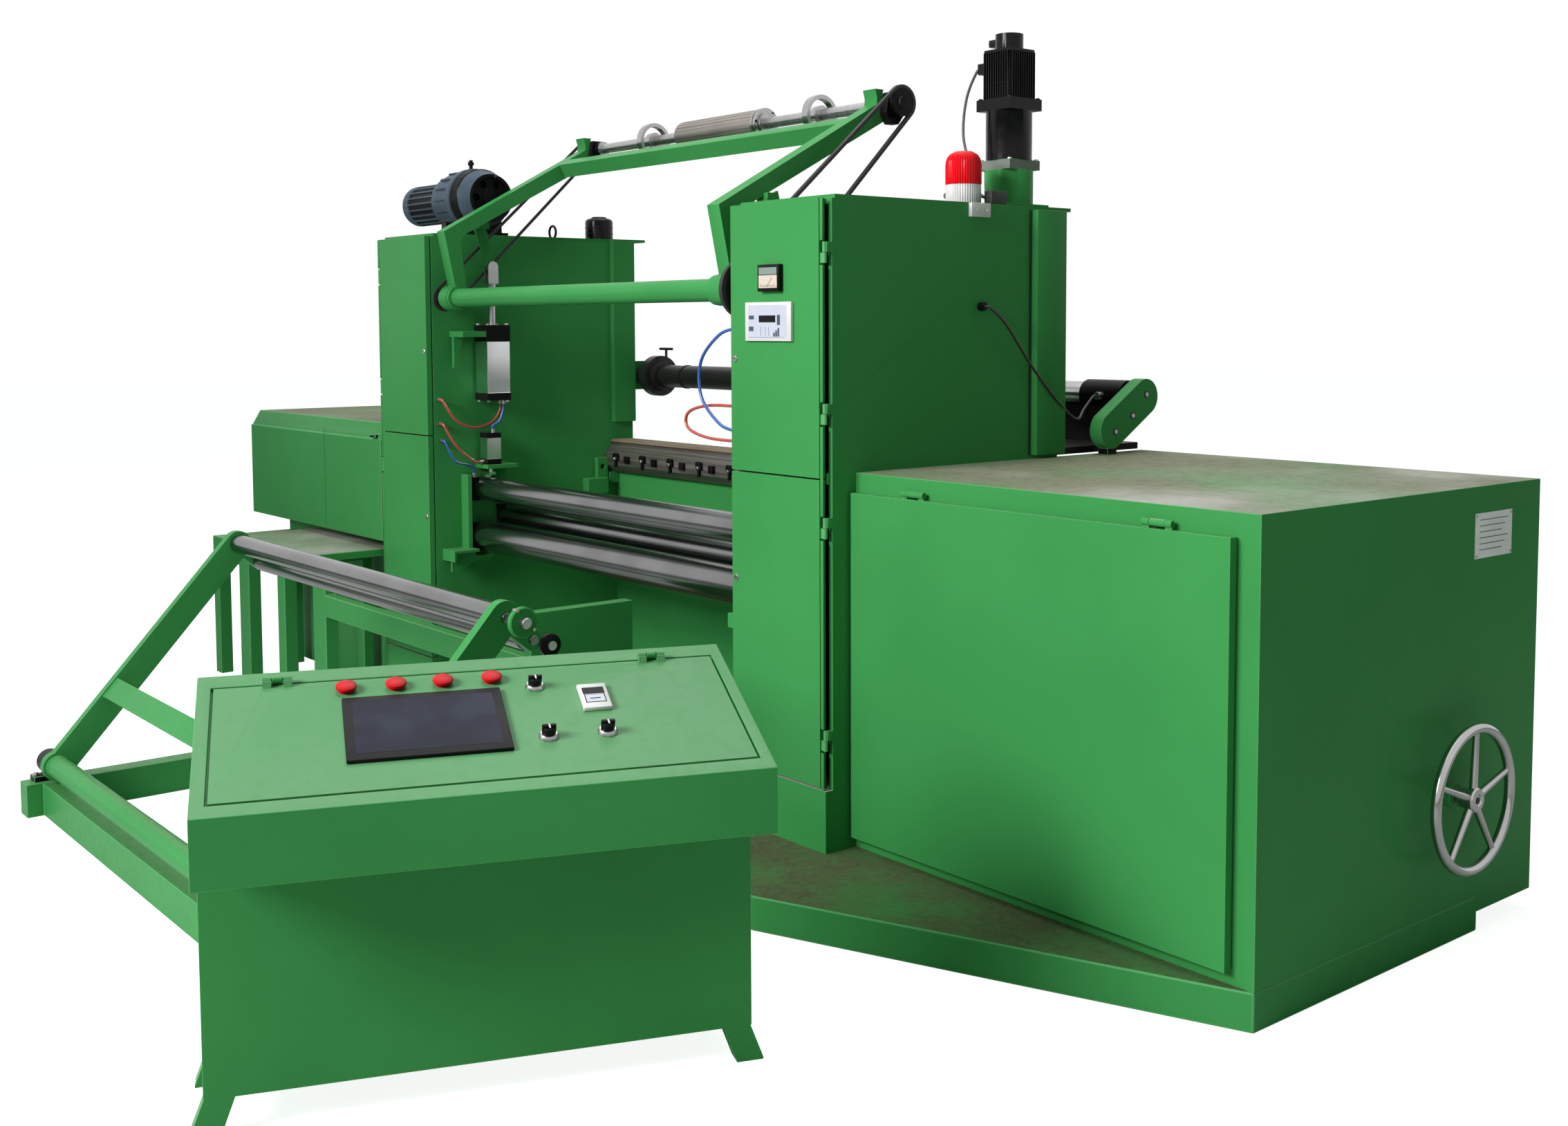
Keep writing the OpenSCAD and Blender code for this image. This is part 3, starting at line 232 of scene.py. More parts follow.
def noise(tree, scale, detail=3.0, stretch=(1, 1, 1), rough=0.5):
    """Noise on the object's own coordinates; scale is a number or another node's output."""
    coords = add_node(tree, "ShaderNodeTexCoord").outputs["Object"]
    place = add_node(tree, "ShaderNodeMapping", {"Vector": coords, "Scale": stretch})
    return add_node(tree, "ShaderNodeTexNoise", {
        "Vector": place.outputs[0], "Scale": scale, "Detail": detail,
        "Roughness": rough}).outputs["Fac"]


def mix_colour(tree, factor, a, b):
    """From colour a to colour b; a Mix node keeps its colour sockets at places 6 and 7."""
    return add_node(tree, "ShaderNodeMix", {0: factor, 6: a, 7: b}, data_type="RGBA",
                    blend_type="MIX").outputs[2]


print("node helpers ready")

# %% [markdown]
# The world has two faces. Camera, glass and mirror rays see plain white, so the background is white
# and bright metal has something pale to reflect. All other rays meet a dim, faintly green fill, so
# matt paint isn't washed out. A Light Path node tells the rays apart.

# %% World
world = bpy.data.worlds.new("studio")
bpy.context.scene.world = world
world.use_nodes = True
sky = world.node_tree
sky.nodes.clear()
ray = add_node(sky, "ShaderNodeLightPath").outputs
seen = maths(sky, "MAXIMUM", maths(sky, "MAXIMUM", ray["Is Camera Ray"],
             ray["Is Transmission Ray"]), ray["Is Glossy Ray"])
ambient = add_node(sky, "ShaderNodeBackground", {"Color": (0.74, 1.0, 0.80, 1), "Strength": 0.20})
backdrop = add_node(sky, "ShaderNodeBackground", {"Color": (1, 1, 1, 1), "Strength": 1.0})
either = add_node(sky, "ShaderNodeMixShader", {"Fac": seen, 1: ambient.outputs[0],
                                               2: backdrop.outputs[0]})
add_node(sky, "ShaderNodeOutputWorld", {"Surface": either.outputs[0]})
print("world", world.name)

# %% [markdown]
# The floor is pale and matt and takes the machine's shadow. A glow that only the camera sees lifts
# it towards white, and the glow itself sends no light up on to the machine.

# %% Floor
floor_mesh = bpy.data.meshes.new("floor")
FLOOR_HALF, BELOW = 40, -0.0005
floor_mesh.from_pydata([(-FLOOR_HALF, -FLOOR_HALF, BELOW), (FLOOR_HALF, -FLOOR_HALF, BELOW),
                        (FLOOR_HALF, FLOOR_HALF, BELOW), (-FLOOR_HALF, FLOOR_HALF, BELOW)],
                       [], [(0, 1, 2, 3)])
floor = bpy.data.objects.new("floor", floor_mesh)
bpy.context.scene.collection.objects.link(floor)
floor_mat = bpy.data.materials.new("pale_floor")
floor_mat.use_nodes = True
ground = floor_mat.node_tree
ground.nodes.clear()
camera_only = add_node(ground, "ShaderNodeLightPath").outputs["Is Camera Ray"]
glow = add_node(ground, "ShaderNodeEmission",
                {"Strength": maths(ground, "MULTIPLY", camera_only, 0.88)})
matt = add_node(ground, "ShaderNodeBsdfDiffuse", {"Color": (0.70, 0.70, 0.70, 1)})
both = add_node(ground, "ShaderNodeAddShader", {0: matt.outputs[0], 1: glow.outputs[0]})
add_node(ground, "ShaderNodeOutputMaterial", {"Surface": both.outputs[0]})
floor_mesh.materials.append(floor_mat)
print("floor", 2 * FLOOR_HALF, "m wide")


# %% [markdown]
# Effects that several finishes share are small node groups: blotches in paint, dust that settles
# only on faces that look up, fine grain for the bump, and drawn-out scratches. Their patterns read
# the object's own coordinates, so they don't slide when a door or arm moves. Only the dust also
# asks which way a face looks in the room.

# %% Shared effects
blotches, g_in, g_out = group("paint_blotches", [("Scale", FLOAT, 1.2), ("Amount", FLOAT, 0.5)],
                              [("Mask", FLOAT), ("Fine", FLOAT)])
broad = ramp(blotches, noise(blotches, g_in.outputs["Scale"], 4.0), 0.35, 0.68)
fine = ramp(blotches, noise(blotches, 38.0, 5.0, rough=0.65), 0.42, 0.72)
fill(blotches, g_out, {"Mask": maths(blotches, "MULTIPLY", broad, g_in.outputs["Amount"]),
                       "Fine": fine})

dust, g_in, g_out = group("settled_dust", [("Amount", FLOAT, 1.0), ("Patch Scale", FLOAT, 2.2)],
                          [("Mask", FLOAT)])
normal = add_node(dust, "ShaderNodeNewGeometry").outputs["Normal"]
upward = ramp(dust, add_node(dust, "ShaderNodeSeparateXYZ", {0: normal}).outputs["Z"], 0.90, 0.99)
patches = ramp(dust, noise(dust, g_in.outputs["Patch Scale"], 6.0, rough=0.6), 0.22, 0.62)
speckle = ramp(dust, noise(dust, 60.0, 4.0, rough=0.7), 0.25, 0.60)
laid = maths(dust, "MULTIPLY", maths(dust, "MULTIPLY", upward, scaled(dust, patches, 0.6, 0.4)),
             scaled(dust, speckle, 0.35, 0.65))
fill(dust, g_out, {"Mask": maths(dust, "MULTIPLY", laid, g_in.outputs["Amount"])})

grain, g_in, g_out = group("surface_grain",
                           [("Scale", FLOAT, 300.0), ("Wave", FLOAT, 4.0),
                            ("Grain Depth", FLOAT, 0.2), ("Wave Depth", FLOAT, 0.8)],
                           [("Height", FLOAT)])
wave = maths(grain, "MULTIPLY", noise(grain, g_in.outputs["Wave"], 1.0),
             g_in.outputs["Wave Depth"])
fill(grain, g_out, {"Height": scaled(grain, noise(grain, g_in.outputs["Scale"], 2.0),
                                     g_in.outputs["Grain Depth"], wave)})

scratches, g_in, g_out = group("drawn_scratches", [("Scale", FLOAT, 30.0), ("Amount", FLOAT, 0.5)],
                               [("Along X", FLOAT), ("Around", FLOAT)])
for way, stretch in (("Along X", (0.08, 6.0, 6.0)), ("Around", (9.0, 0.25, 0.25))):
    marks = ramp(scratches, noise(scratches, g_in.outputs["Scale"], 6.0, stretch, 0.7), 0.35, 0.7)
    fill(scratches, g_out, {way: maths(scratches, "MULTIPLY", marks, g_in.outputs["Amount"])})
print("node groups", [g.name for g in bpy.data.node_groups])


# %% [markdown]
# A finish is a Principled surface. `finish` opens one and hands back its tree, `use` puts a shared
# effect in it, and `bump` turns an effect's height into relief.

# %% Building a finish
def finish(name, colour, rough, metal=0.0, coat=0.0, specular=0.5):
    mat = bpy.data.materials.new(name)
    mat.use_nodes = True
    tree = mat.node_tree
    tree.nodes.clear()
    skin = add_node(tree, "ShaderNodeBsdfPrincipled", {
        "Base Color": (*colour, 1), "Roughness": rough, "Metallic": metal, "Coat Weight": coat,
        "Coat Roughness": 0.08, "Specular IOR Level": specular})
    add_node(tree, "ShaderNodeOutputMaterial", {"Surface": skin.outputs[0]})
    return mat, tree, skin


def use(tree, which, **values):
    """Places a shared effect; an underscore in a value's name stands for a space."""
    return add_node(tree, "ShaderNodeGroup",
                    {key.replace("_", " "): value for key, value in values.items()},
                    node_tree=which)


def bump(tree, skin, height, strength, distance=0.001):
    relief = add_node(tree, "ShaderNodeBump", {"Strength": strength, "Distance": distance,
                                               "Height": height})
    fill(tree, skin, {"Normal": relief.outputs[0]})


print("finish builder ready")

# %% [markdown]
# Three kinds of surface cover nearly the whole machine. Sprayed enamel has two close shades in soft
# blotches, and dust, with pale chalk in it where that is asked for. Metal varies its gloss in fine
# marks that run round it or along it. Moulded plastic and rubber have a fine tooth. One function
# makes each kind, so that all the paint on the machine ages alike.

# %% Paint, metal and plastic
def painted(name, colour, dark, rough=0.30, dust_amount=0.0, dust_colour=(0.36, 0.32, 0.22),
            patch=2.2, scale=1.1, depth=0.22, specular=0.07, chalk=None):
    """Sprayed enamel: two shades in blotches, faint smears, and dust on what faces up."""
    mat, tree, skin = finish(name, colour, rough, specular=specular)
    spots = use(tree, blotches, Scale=scale, Amount=0.6)
    base = mix_colour(tree, spots.outputs["Mask"], (*colour, 1), (*dark, 1))
    base = mix_colour(tree, maths(tree, "MULTIPLY", spots.outputs["Fine"], 0.08), base, (*dark, 1))
    roughness = scaled(tree, spots.outputs["Fine"], 0.10, rough)
    if dust_amount:
        film = use(tree, dust, Amount=dust_amount, Patch_Scale=patch)
        tone = mix_colour(tree, spots.outputs["Fine"], (*dust_colour, 1),
                          (*[c * 0.72 for c in dust_colour], 1))
        base = mix_colour(tree, film.outputs["Mask"], base, tone)
        if chalk:
            pale = use(tree, blotches, Scale=1.5, Amount=1.0)
            spread = maths(tree, "MULTIPLY", maths(tree, "POWER", pale.outputs["Mask"], 1.6),
                           film.outputs["Mask"])
            base = mix_colour(tree, spread, base, (*chalk, 1))
        roughness = scaled(tree, film.outputs["Mask"], 0.45, roughness)
    fill(tree, skin, {"Base Color": base, "Roughness": roughness})
    skin_grain = use(tree, grain, Scale=260.0, Wave=2.4, Grain_Depth=0.06, Wave_Depth=1.4)
    bump(tree, skin, skin_grain.outputs["Height"], depth)
    return mat


def metal(name, colour, rough, turned="Around", amount=0.5, scale=30.0, metallic=1.0, depth=0.12):
    """Bare or plated metal, with turning or drawing marks that vary its gloss."""
    mat, tree, skin = finish(name, colour, rough, metal=metallic)
    marks = use(tree, scratches, Scale=scale, Amount=amount)
    spots = use(tree, blotches, Scale=5.0, Amount=0.6)
    base = mix_colour(tree, spots.outputs["Mask"], (*colour, 1), (*[c * 0.72 for c in colour], 1))
    fill(tree, skin, {"Base Color": base,
                      "Roughness": scaled(tree, marks.outputs[turned], 0.30, rough)})
    bump(tree, skin, marks.outputs[turned], depth, 0.0004)
    return mat


def moulded(name, colour, rough, grain_depth=0.25, coat=0.0, specular=0.5):
    """Moulded plastic or rubber with a fine tooth."""
    mat, tree, skin = finish(name, colour, rough, coat=coat, specular=specular)
    spots = use(tree, blotches, Scale=14.0, Amount=0.4)
    base = mix_colour(tree, spots.outputs["Mask"], (*colour, 1), (*[c * 0.86 for c in colour], 1))
    fill(tree, skin, {"Base Color": base,
                      "Roughness": scaled(tree, spots.outputs["Fine"], 0.08, rough)})
    tooth = use(tree, grain, Scale=700.0, Wave=30.0, Grain_Depth=grain_depth, Wave_Depth=0.1)
    bump(tree, skin, tooth.outputs["Height"], 0.25)
    return mat


print("paint, metal and plastic ready")

# %% [markdown]
# The machine's finishes: apple-green enamel in a clean, a dusty and a trodden version, a paler
# green with a painted sheen, standing for the bright reflection from above, on the console's lid
# and on the hood's upward faces, black and blue-grey enamel, polished rolls, bright and drawn
# steel, oily iron, and the plastics and rubbers of instruments, hoses and belts. Dust lies only on
# what faces up. It is a warm grey on most pieces, darker where feet tread, and a greenish grey on
# the console. The dusty enamel is for the frames, the cabinets and the feed table, whose tops also
# have pale chalky patches.

# %% The finishes
GREEN, DEEP = (0.046, 0.285, 0.074), (0.030, 0.215, 0.052)
enamel = painted("green_enamel", GREEN, DEEP, dust_amount=0.14)
enamel_dusty = painted("green_enamel_dusty", GREEN, DEEP, dust_amount=0.95,
                       dust_colour=(0.25, 0.225, 0.17), chalk=(0.50, 0.50, 0.46))
# The console's paler, whiter green is a painted sheen for the bright reflection on its lid and
# upward faces; dust lies over it as well.
console_enamel_painted_sheen = painted("console_enamel_painted_sheen", (0.098, 0.31, 0.125), (0.070, 0.25, 0.092),
                         dust_amount=0.2, dust_colour=(0.30, 0.34, 0.27), specular=0.12)
plate_white = moulded("white_plate", (0.90, 0.91, 0.90), 0.45)
enamel_trodden = painted("green_enamel_trodden", GREEN, DEEP, dust_amount=0.97,
                         dust_colour=(0.092, 0.080, 0.048), patch=3.0)
edge_paint = painted("worn_enamel_edge", (0.105, 0.38, 0.14), (0.06, 0.28, 0.09), rough=0.36)
black_enamel = painted("black_enamel", (0.006, 0.006, 0.007), (0.014, 0.013, 0.012), rough=0.30,
                       dust_amount=0.22, dust_colour=(0.10, 0.09, 0.07), patch=9.0, scale=8.0)
gloss_black = painted("gloss_black_enamel", (0.004, 0.004, 0.005), (0.009, 0.009, 0.010),
                      rough=0.16, dust_amount=0.06, patch=9.0, scale=8.0, specular=0.16)
motor_grey = painted("motor_grey_enamel", (0.070, 0.105, 0.140), (0.042, 0.066, 0.090), rough=0.38,
                     dust_amount=0.35, dust_colour=(0.24, 0.23, 0.20), patch=9.0, scale=7.0)
flange_grey = painted("grey_flange_enamel", (0.22, 0.25, 0.22), (0.15, 0.18, 0.15), rough=0.42,
                      dust_amount=0.5, dust_colour=(0.30, 0.28, 0.22), patch=9.0, scale=7.0)
polished_roll = metal("polished_roll", (0.25, 0.25, 0.255), 0.20, "Around", 0.10, 22.0, depth=0.03)
bright_steel = metal("bright_steel", (0.46, 0.46, 0.46), 0.24, "Around", 0.6, 30.0)
polished_alloy = metal("polished_alloy", (0.46, 0.46, 0.455), 0.14, "Around", 0.3, 12.0)
tube_alloy = metal("cylinder_tube_alloy", (0.92, 0.93, 0.95), 0.20, "Along X", 0.15, 30.0)
sleeve_steel = metal("brown_sleeve_steel", (0.36, 0.33, 0.30), 0.34, "Along X", 0.8, 26.0)
worn_steel = metal("worn_steel", (0.27, 0.25, 0.23), 0.42, "Along X", 0.8, 16.0)
cast_iron = metal("oily_iron", (0.022, 0.021, 0.021), 0.36, "Around", 0.5, 26.0, metallic=0.5)
cover_dust = painted("brown_dusty_cover", (0.20, 0.165, 0.11), (0.12, 0.10, 0.07), rough=0.6,
                     dust_amount=0.6, dust_colour=(0.33, 0.29, 0.22), patch=6.0, scale=4.0)
black_plastic = moulded("black_plastic", (0.005, 0.005, 0.006), 0.38, specular=0.12)
white_plastic = moulded("white_plastic", (0.66, 0.67, 0.66), 0.35)
cream_plastic = moulded("cream_plastic", (0.62, 0.55, 0.46), 0.40)
grey_window = moulded("grey_window", (0.20, 0.27, 0.24), 0.25)
pale_panel = moulded("pale_instrument_face", (0.52, 0.56, 0.66), 0.30)
red_plastic = moulded("red_button_plastic", (0.52, 0.003, 0.006), 0.35, specular=0.2)
belt_rubber = moulded("belt_rubber", (0.012, 0.012, 0.012), 0.62)
cable_rubber = moulded("cable_rubber", (0.014, 0.014, 0.014), 0.48)
red_tube = moulded("red_air_hose", (0.48, 0.055, 0.035), 0.22, coat=0.4)
blue_tube = moulded("blue_air_hose", (0.020, 0.105, 0.420), 0.22, coat=0.4)
# Dark for the gaps in seams, and also for painted shadows: the discs round the guard's screws and
# the latches' key slots.
dark_gap_and_painted_shadow = moulded("dark_gap_and_painted_shadow", (0.004, 0.006, 0.004), 0.60)
print("finishes", len(bpy.data.materials))

# %% [markdown]
# Three finishes need a rule of their own. The beacon's lens is a deep red plastic, darker in
# patches; its flutes are in its mesh. The servo's cable lies in a ribbed conduit, whose ribs are
# bands of light and dark along Z with a bump on them: the light bands are painted highlights on
# the crests and the dark bands painted shade between them. The screen is switched off, a dark and
# nearly matt glass with a faint haze.

# %% Lens, conduit and screen
red_lens, tree, skin = finish("red_lens", (0.78, 0.003, 0.010), 0.22, specular=0.12)
patchy = use(tree, blotches, Scale=20.0, Amount=0.35)
fill(tree, skin, {"Base Color": mix_colour(tree, patchy.outputs["Mask"], (0.80, 0.003, 0.010, 1),
                                           (0.52, 0.002, 0.006, 1))})

conduit, tree, skin = finish("ribbed_conduit", (0.10, 0.10, 0.105), 0.45)
coords = add_node(tree, "ShaderNodeTexCoord").outputs["Object"]
# The wave bands mix dark and light grey: painted shade in the grooves, painted highlights on the
# rib crests.
rings = add_node(tree, "ShaderNodeTexWave", {"Vector": coords, "Scale": 110.0, "Distortion": 0.0},
                 wave_type="BANDS", bands_direction="Z")
fill(tree, skin, {"Base Color": mix_colour(tree, rings.outputs["Fac"], (0.035, 0.035, 0.038, 1),
                                           (0.17, 0.17, 0.175, 1))})
bump(tree, skin, rings.outputs["Fac"], 0.6, 0.001)

screen_glass, tree, skin = finish("dark_screen", (0.010, 0.013, 0.022), 0.50, specular=0.10)
haze = use(tree, blotches, Scale=9.0, Amount=0.7)
fill(tree, skin, {"Base Color": mix_colour(tree, haze.outputs["Mask"], (0.012, 0.015, 0.026, 1),
                                           (0.030, 0.036, 0.055, 1))})
print("own finishes", red_lens.name, conduit.name, screen_glass.name)

# %% [markdown]
# The air hoses are red or blue, which helps a fitter to tell one line from another. The cables are
# black rubber, apart from the servo's, which has the conduit.

# %% Colours of the cords
sheaths = {"hose_left_a": red_tube, "hose_left_c": red_tube, "hose_right_b": red_tube,
           "servo_cable": conduit, "beacon_cable": cable_rubber, "motor_cable": cable_rubber}
for name, cord in cords.items():
    cord.data.materials.append(sheaths.get(name, blue_tube))
    print(name, cord.data.materials[0].name)

# %% [markdown]
# Folded sheet metal and castings never have a knife edge. `dressed` copies a node's mesh, merges
# its loose triangles, gives each face the finish of the part that it belongs to, and lets a Bevel
# modifier round the edges, which catches the light as real folds do. On painted sheet the bevel
# has a paler paint of its own, because edges wear first.

# %% Dressing a node
def cleaned(node):
    """A merged copy of a node's mesh, with its flat faces joined; the node is left alone."""
    bm = bmesh.new()
    bm.from_mesh(nodes[node].data)
    bmesh.ops.remove_doubles(bm, verts=bm.verts, dist=2e-5)
    bmesh.ops.dissolve_limit(bm, angle_limit=math.radians(0.8), verts=bm.verts, edges=bm.edges)
    return bm


def as_piece(name, bm, mats, body, sharp=35):
    """Makes a mesh a piece that rides on its body, smooth but for edges sharper than the angle."""
    mesh = bpy.data.meshes.new(name)
    bm.to_mesh(mesh)
    bm.free()
    for p in mesh.polygons:
        p.use_smooth = True
    mesh.set_sharp_from_angle(angle=math.radians(sharp))
    obj = bpy.data.objects.new(name, mesh)
    bpy.context.scene.collection.objects.link(obj)
    for m in mats if isinstance(mats, (list, tuple)) else [mats]:
        mesh.materials.append(m)
    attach(obj, body)
    return obj


def soften(obj, width, edge=False, segments=2, angle=38):
    """Rounds a piece's folds; with edge, the last material of the piece is laid on them."""
    mod = obj.modifiers.new("rounded_edges", "BEVEL")
    mod.width = width
    mod.segments = segments
    mod.limit_method = "ANGLE"
    mod.angle_limit = math.radians(angle)
    mod.harden_normals = True
    if edge:
        mod.material = len(obj.data.materials) - 1
    return obj


def dressed(node, mats, width=0.003, edge=None, pick=None, segments=2):
    """pick takes a face's centre in millimetres and its normal, and gives a material's place."""
    bm = cleaned(node)
    if pick:
        for face in bm.faces:
            face.material_index = pick(face.calc_center_median() * 1000, face.normal)
    mats = list(mats) if isinstance(mats, (list, tuple)) else [mats]
    obj = as_piece("dressed_" + node, bm, mats + ([edge] if edge else []), body_of_node[node])
    if width:
        soften(obj, width, bool(edge), segments)
    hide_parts(node)
    return obj


print("nodes to dress", len(nodes))

# %% [markdown]
# Small hardware that belongs together is gathered in a `Kit`: blocks, rods, turned shapes, hoops
# and belts, typed in millimetres. A kit becomes one mesh on one body, with one material place for
# each finish, so a panel full of knobs stays a single piece. A kit may also have a place of its
# own, a matrix that every shape put in it goes through.

# %% A kit of small hardware
class Kit:
    def __init__(self, place=None):
        self.bm = bmesh.new()
        self.place = place or Matrix.Identity(4)

    def _keep(self, verts, mat):
        for face in {f for v in verts for f in v.link_faces}:
            face.material_index = mat
        for v in verts:
            v.co = self.place @ v.co

    def _close(self, rings, faces, mat):
        """Ends a shape that was made ring by ring, with its faces turned outwards."""
        self._keep([v for ring in rings for v in ring], mat)
        bmesh.ops.recalc_face_normals(self.bm, faces=faces)
        return self

    def block(self, x, y, z, mat=0, round_by=0.0):
        """A box between two limits on each axis, with rounded edges where a size is given."""
        made = bmesh.ops.create_cube(self.bm, size=1.0)["verts"]
        size = Vector((x[1] - x[0], y[1] - y[0], z[1] - z[0]))
        middle = Vector((x[0] + x[1], y[0] + y[1], z[0] + z[1])) / 2
        for v in made:
            v.co = Vector(a * b for a, b in zip(v.co, size)) + middle
        if round_by:
            edges = list({e for v in made for e in v.link_edges})
            out = bmesh.ops.bevel(self.bm, geom=edges, offset=round_by, segments=2, profile=0.5,
                                  affect="EDGES")
            made = out["verts"]
        self._keep(made, mat)
        return self

    def rod(self, start, end, radius, mat=0, sides=32, end_radius=None, chamfer=0.0):
        """Round bar from start to end, with a small chamfer at both ends where one is given."""
        length = (Vector(end) - Vector(start)).length
        last = radius if end_radius is None else end_radius
        profile = [(0, 0), (radius - chamfer, 0), (radius, chamfer), (last, length - chamfer),
                   (last - chamfer, length), (0, length)]
        if not chamfer:
            profile = [(0, 0), (radius, 0), (last, length), (0, length)]
        return self.turned(profile, start, Vector(end) - Vector(start), mat, sides)

    def turned(self, profile, origin, axis, mat=0, sides=48, flutes=0, depth=0.0):
        """Turns (radius, distance) pairs about an axis; flutes ripple the wall."""
        turn = Vector(axis).to_track_quat("Z", "Y").to_matrix()
        rings = []
        for radius, distance in profile:
            if radius <= 0:
                rings.append([self.bm.verts.new(Vector(origin) + turn @ Vector((0, 0, distance)))])
                continue
            ring = []
            for i in range(sides):
                a = 2 * math.pi * i / sides
                r = radius - depth * (0.5 - 0.5 * math.cos(flutes * a)) if flutes else radius
                ring.append(self.bm.verts.new(Vector(origin) + turn @ Vector(
                    (r * math.cos(a), r * math.sin(a), distance))))
            rings.append(ring)
        faces = []
        for low, high in zip(rings, rings[1:]):
            for i in range(sides):
                j = (i + 1) % sides
                if len(low) == 1 and len(high) == 1:
                    continue
                if len(low) == 1:
                    faces.append(self.bm.faces.new((low[0], high[j], high[i])))
                elif len(high) == 1:
                    faces.append(self.bm.faces.new((low[i], low[j], high[0])))
                else:
                    faces.append(self.bm.faces.new((low[i], low[j], high[j], high[i])))
        return self._close(rings, faces, mat)

    def hoop(self, centre, axis, radius, wire, mat=0, sides=48, around=12):
        """A round wire bent to a ring about an axis."""
        turn = Vector(axis).to_track_quat("Z", "Y").to_matrix()
        grid = [[self.bm.verts.new(Vector(centre) + turn @ Vector((
            (radius + wire * math.cos(b)) * math.cos(a),
            (radius + wire * math.cos(b)) * math.sin(a), wire * math.sin(b))))
            for b in (2 * math.pi * k / around for k in range(around))]
            for a in (2 * math.pi * i / sides for i in range(sides))]
        faces = [self.bm.faces.new((grid[i][k], grid[(i + 1) % sides][k],
                                    grid[(i + 1) % sides][(k + 1) % around],
                                    grid[i][(k + 1) % around]))
                 for i in range(sides) for k in range(around)]
        return self._close(grid, faces, mat)

    def band(self, mid, wide, low, high, thick, mat=0, steps=24):
        """Closed belt across X = mid round two wheels, each given as ((y, z), radius)."""
        (y0, z0), r0 = low
        (y1, z1), r1 = high
        aim = math.atan2(z1 - z0, y1 - y0)
        lean = math.asin((r0 - r1) / math.hypot(y1 - y0, z1 - z0))
        route = []
        ends = ((low[0], r0, aim + math.pi / 2 - lean, math.pi + 2 * lean),
                (high[0], r1, aim - math.pi / 2 + lean, math.pi - 2 * lean))
        for (y, z), r, start, sweep in ends:
            for k in range(steps + 1):
                a = start + sweep * k / steps
                route.append((y, z, r, math.cos(a), math.sin(a)))
        rings = [[self.bm.verts.new((x, y + (r + t) * c, z + (r + t) * s))
                  for x, t in ((mid - wide / 2, 0), (mid + wide / 2, 0),
                               (mid + wide / 2, thick), (mid - wide / 2, thick))]
                 for y, z, r, c, s in route]
        faces = [self.bm.faces.new((a[k], a[(k + 1) % 4], b[(k + 1) % 4], b[k]))
                 for a, b in zip(rings, rings[1:] + rings[:1]) for k in range(4)]
        return self._close(rings, faces, mat)

    def piece(self, name, mats, body, width=0.0, stands_for=()):
        self.bm.transform(Matrix.Scale(0.001, 4))
        obj = as_piece(name, self.bm, mats, body)
        if width:
            soften(obj, width)
        if stands_for:
            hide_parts(*stands_for)
        return obj


print("kit ready:", *[way for way in vars(Kit) if not way.startswith("_")])

# %% [markdown]
# What repeats on a rule is made by Geometry Nodes: a ring of screws or ribs about an axis, and a
# row of screws along a line. Every tree has named sizes, puts a shape on points, and ends in
# Realize Instances and Set Material, so that nothing is left only as an instance. The start
# and the end of a tree are the same each time, so they are made first.

# %% Start and end of a tree
VECTOR, INTEGER, MATERIAL = "NodeSocketVector", "NodeSocketInt", "NodeSocketMaterial"


def new_tree(name, inputs):
    """A geometry tree with its named inputs."""
    tree = bpy.data.node_groups.new(name, "GeometryNodeTree")
    tree.interface.new_socket(name="Geometry", in_out="OUTPUT", socket_type="NodeSocketGeometry")
    for label, kind in inputs:
        tree.interface.new_socket(name=label, in_out="INPUT", socket_type=kind)
    return tree, add_node(tree, "NodeGroupInput"), add_node(tree, "NodeGroupOutput")


def close_tree(tree, points, shape, rotation, g_in, g_out):
    """Puts the shape on every point, makes it real, and gives it its finish."""
    place = add_node(tree, "GeometryNodeInstanceOnPoints", {"Points": points, "Instance": shape})
    if rotation is not None:
        fill(tree, place, {"Rotation": rotation})
    real = add_node(tree, "GeometryNodeRealizeInstances", {0: place.outputs[0]})
    coat = add_node(tree, "GeometryNodeSetMaterial", {"Geometry": real.outputs[0],
                                                      "Material": g_in.outputs["Finish"]})
    fill(tree, g_out, {0: coat.outputs[0]})


print("tree ends ready")

# %% [markdown]
# The shapes that repeat are a hexagon screw head on its washer, and a plain bar for ribs. The
# points lie on a circle or along a line.

# %% Shapes and points
def hex_head(tree, g_in):
    """A hexagon head on its washer, standing on its seat along +Z."""
    radius, height = g_in.outputs["Head Radius"], g_in.outputs["Head Height"]
    head = add_node(tree, "GeometryNodeMeshCylinder",
                    {"Vertices": 6, "Radius": radius, "Depth": height})
    washer = add_node(tree, "GeometryNodeMeshCylinder",
                      {"Vertices": 16, "Radius": maths(tree, "MULTIPLY", radius, 1.25),
                       "Depth": maths(tree, "MULTIPLY", height, 0.3)})
    join = add_node(tree, "GeometryNodeJoinGeometry")
    for shape in (head, washer):
        fill(tree, join, {0: shape.outputs["Mesh"]})
    return join.outputs[0]


def bar(tree, g_in):
    """A plain bar about its own middle."""
    return add_node(tree, "GeometryNodeMeshCube",
                    {"Size": g_in.outputs["Bar Size"]}).outputs["Mesh"]


def ring_points(tree, g_in):
    """Points on a circle about Z, and a turn for each that points its X axis outwards."""
    circle = add_node(tree, "GeometryNodeMeshCircle", {"Vertices": g_in.outputs["Count"],
                                                       "Radius": g_in.outputs["Ring Radius"]})
    index = add_node(tree, "GeometryNodeInputIndex").outputs[0]
    step = maths(tree, "DIVIDE", 2 * math.pi, g_in.outputs["Count"])
    turn = add_node(tree, "ShaderNodeCombineXYZ", {"Z": maths(tree, "MULTIPLY", index, step)})
    return circle.outputs["Mesh"], turn.outputs[0]


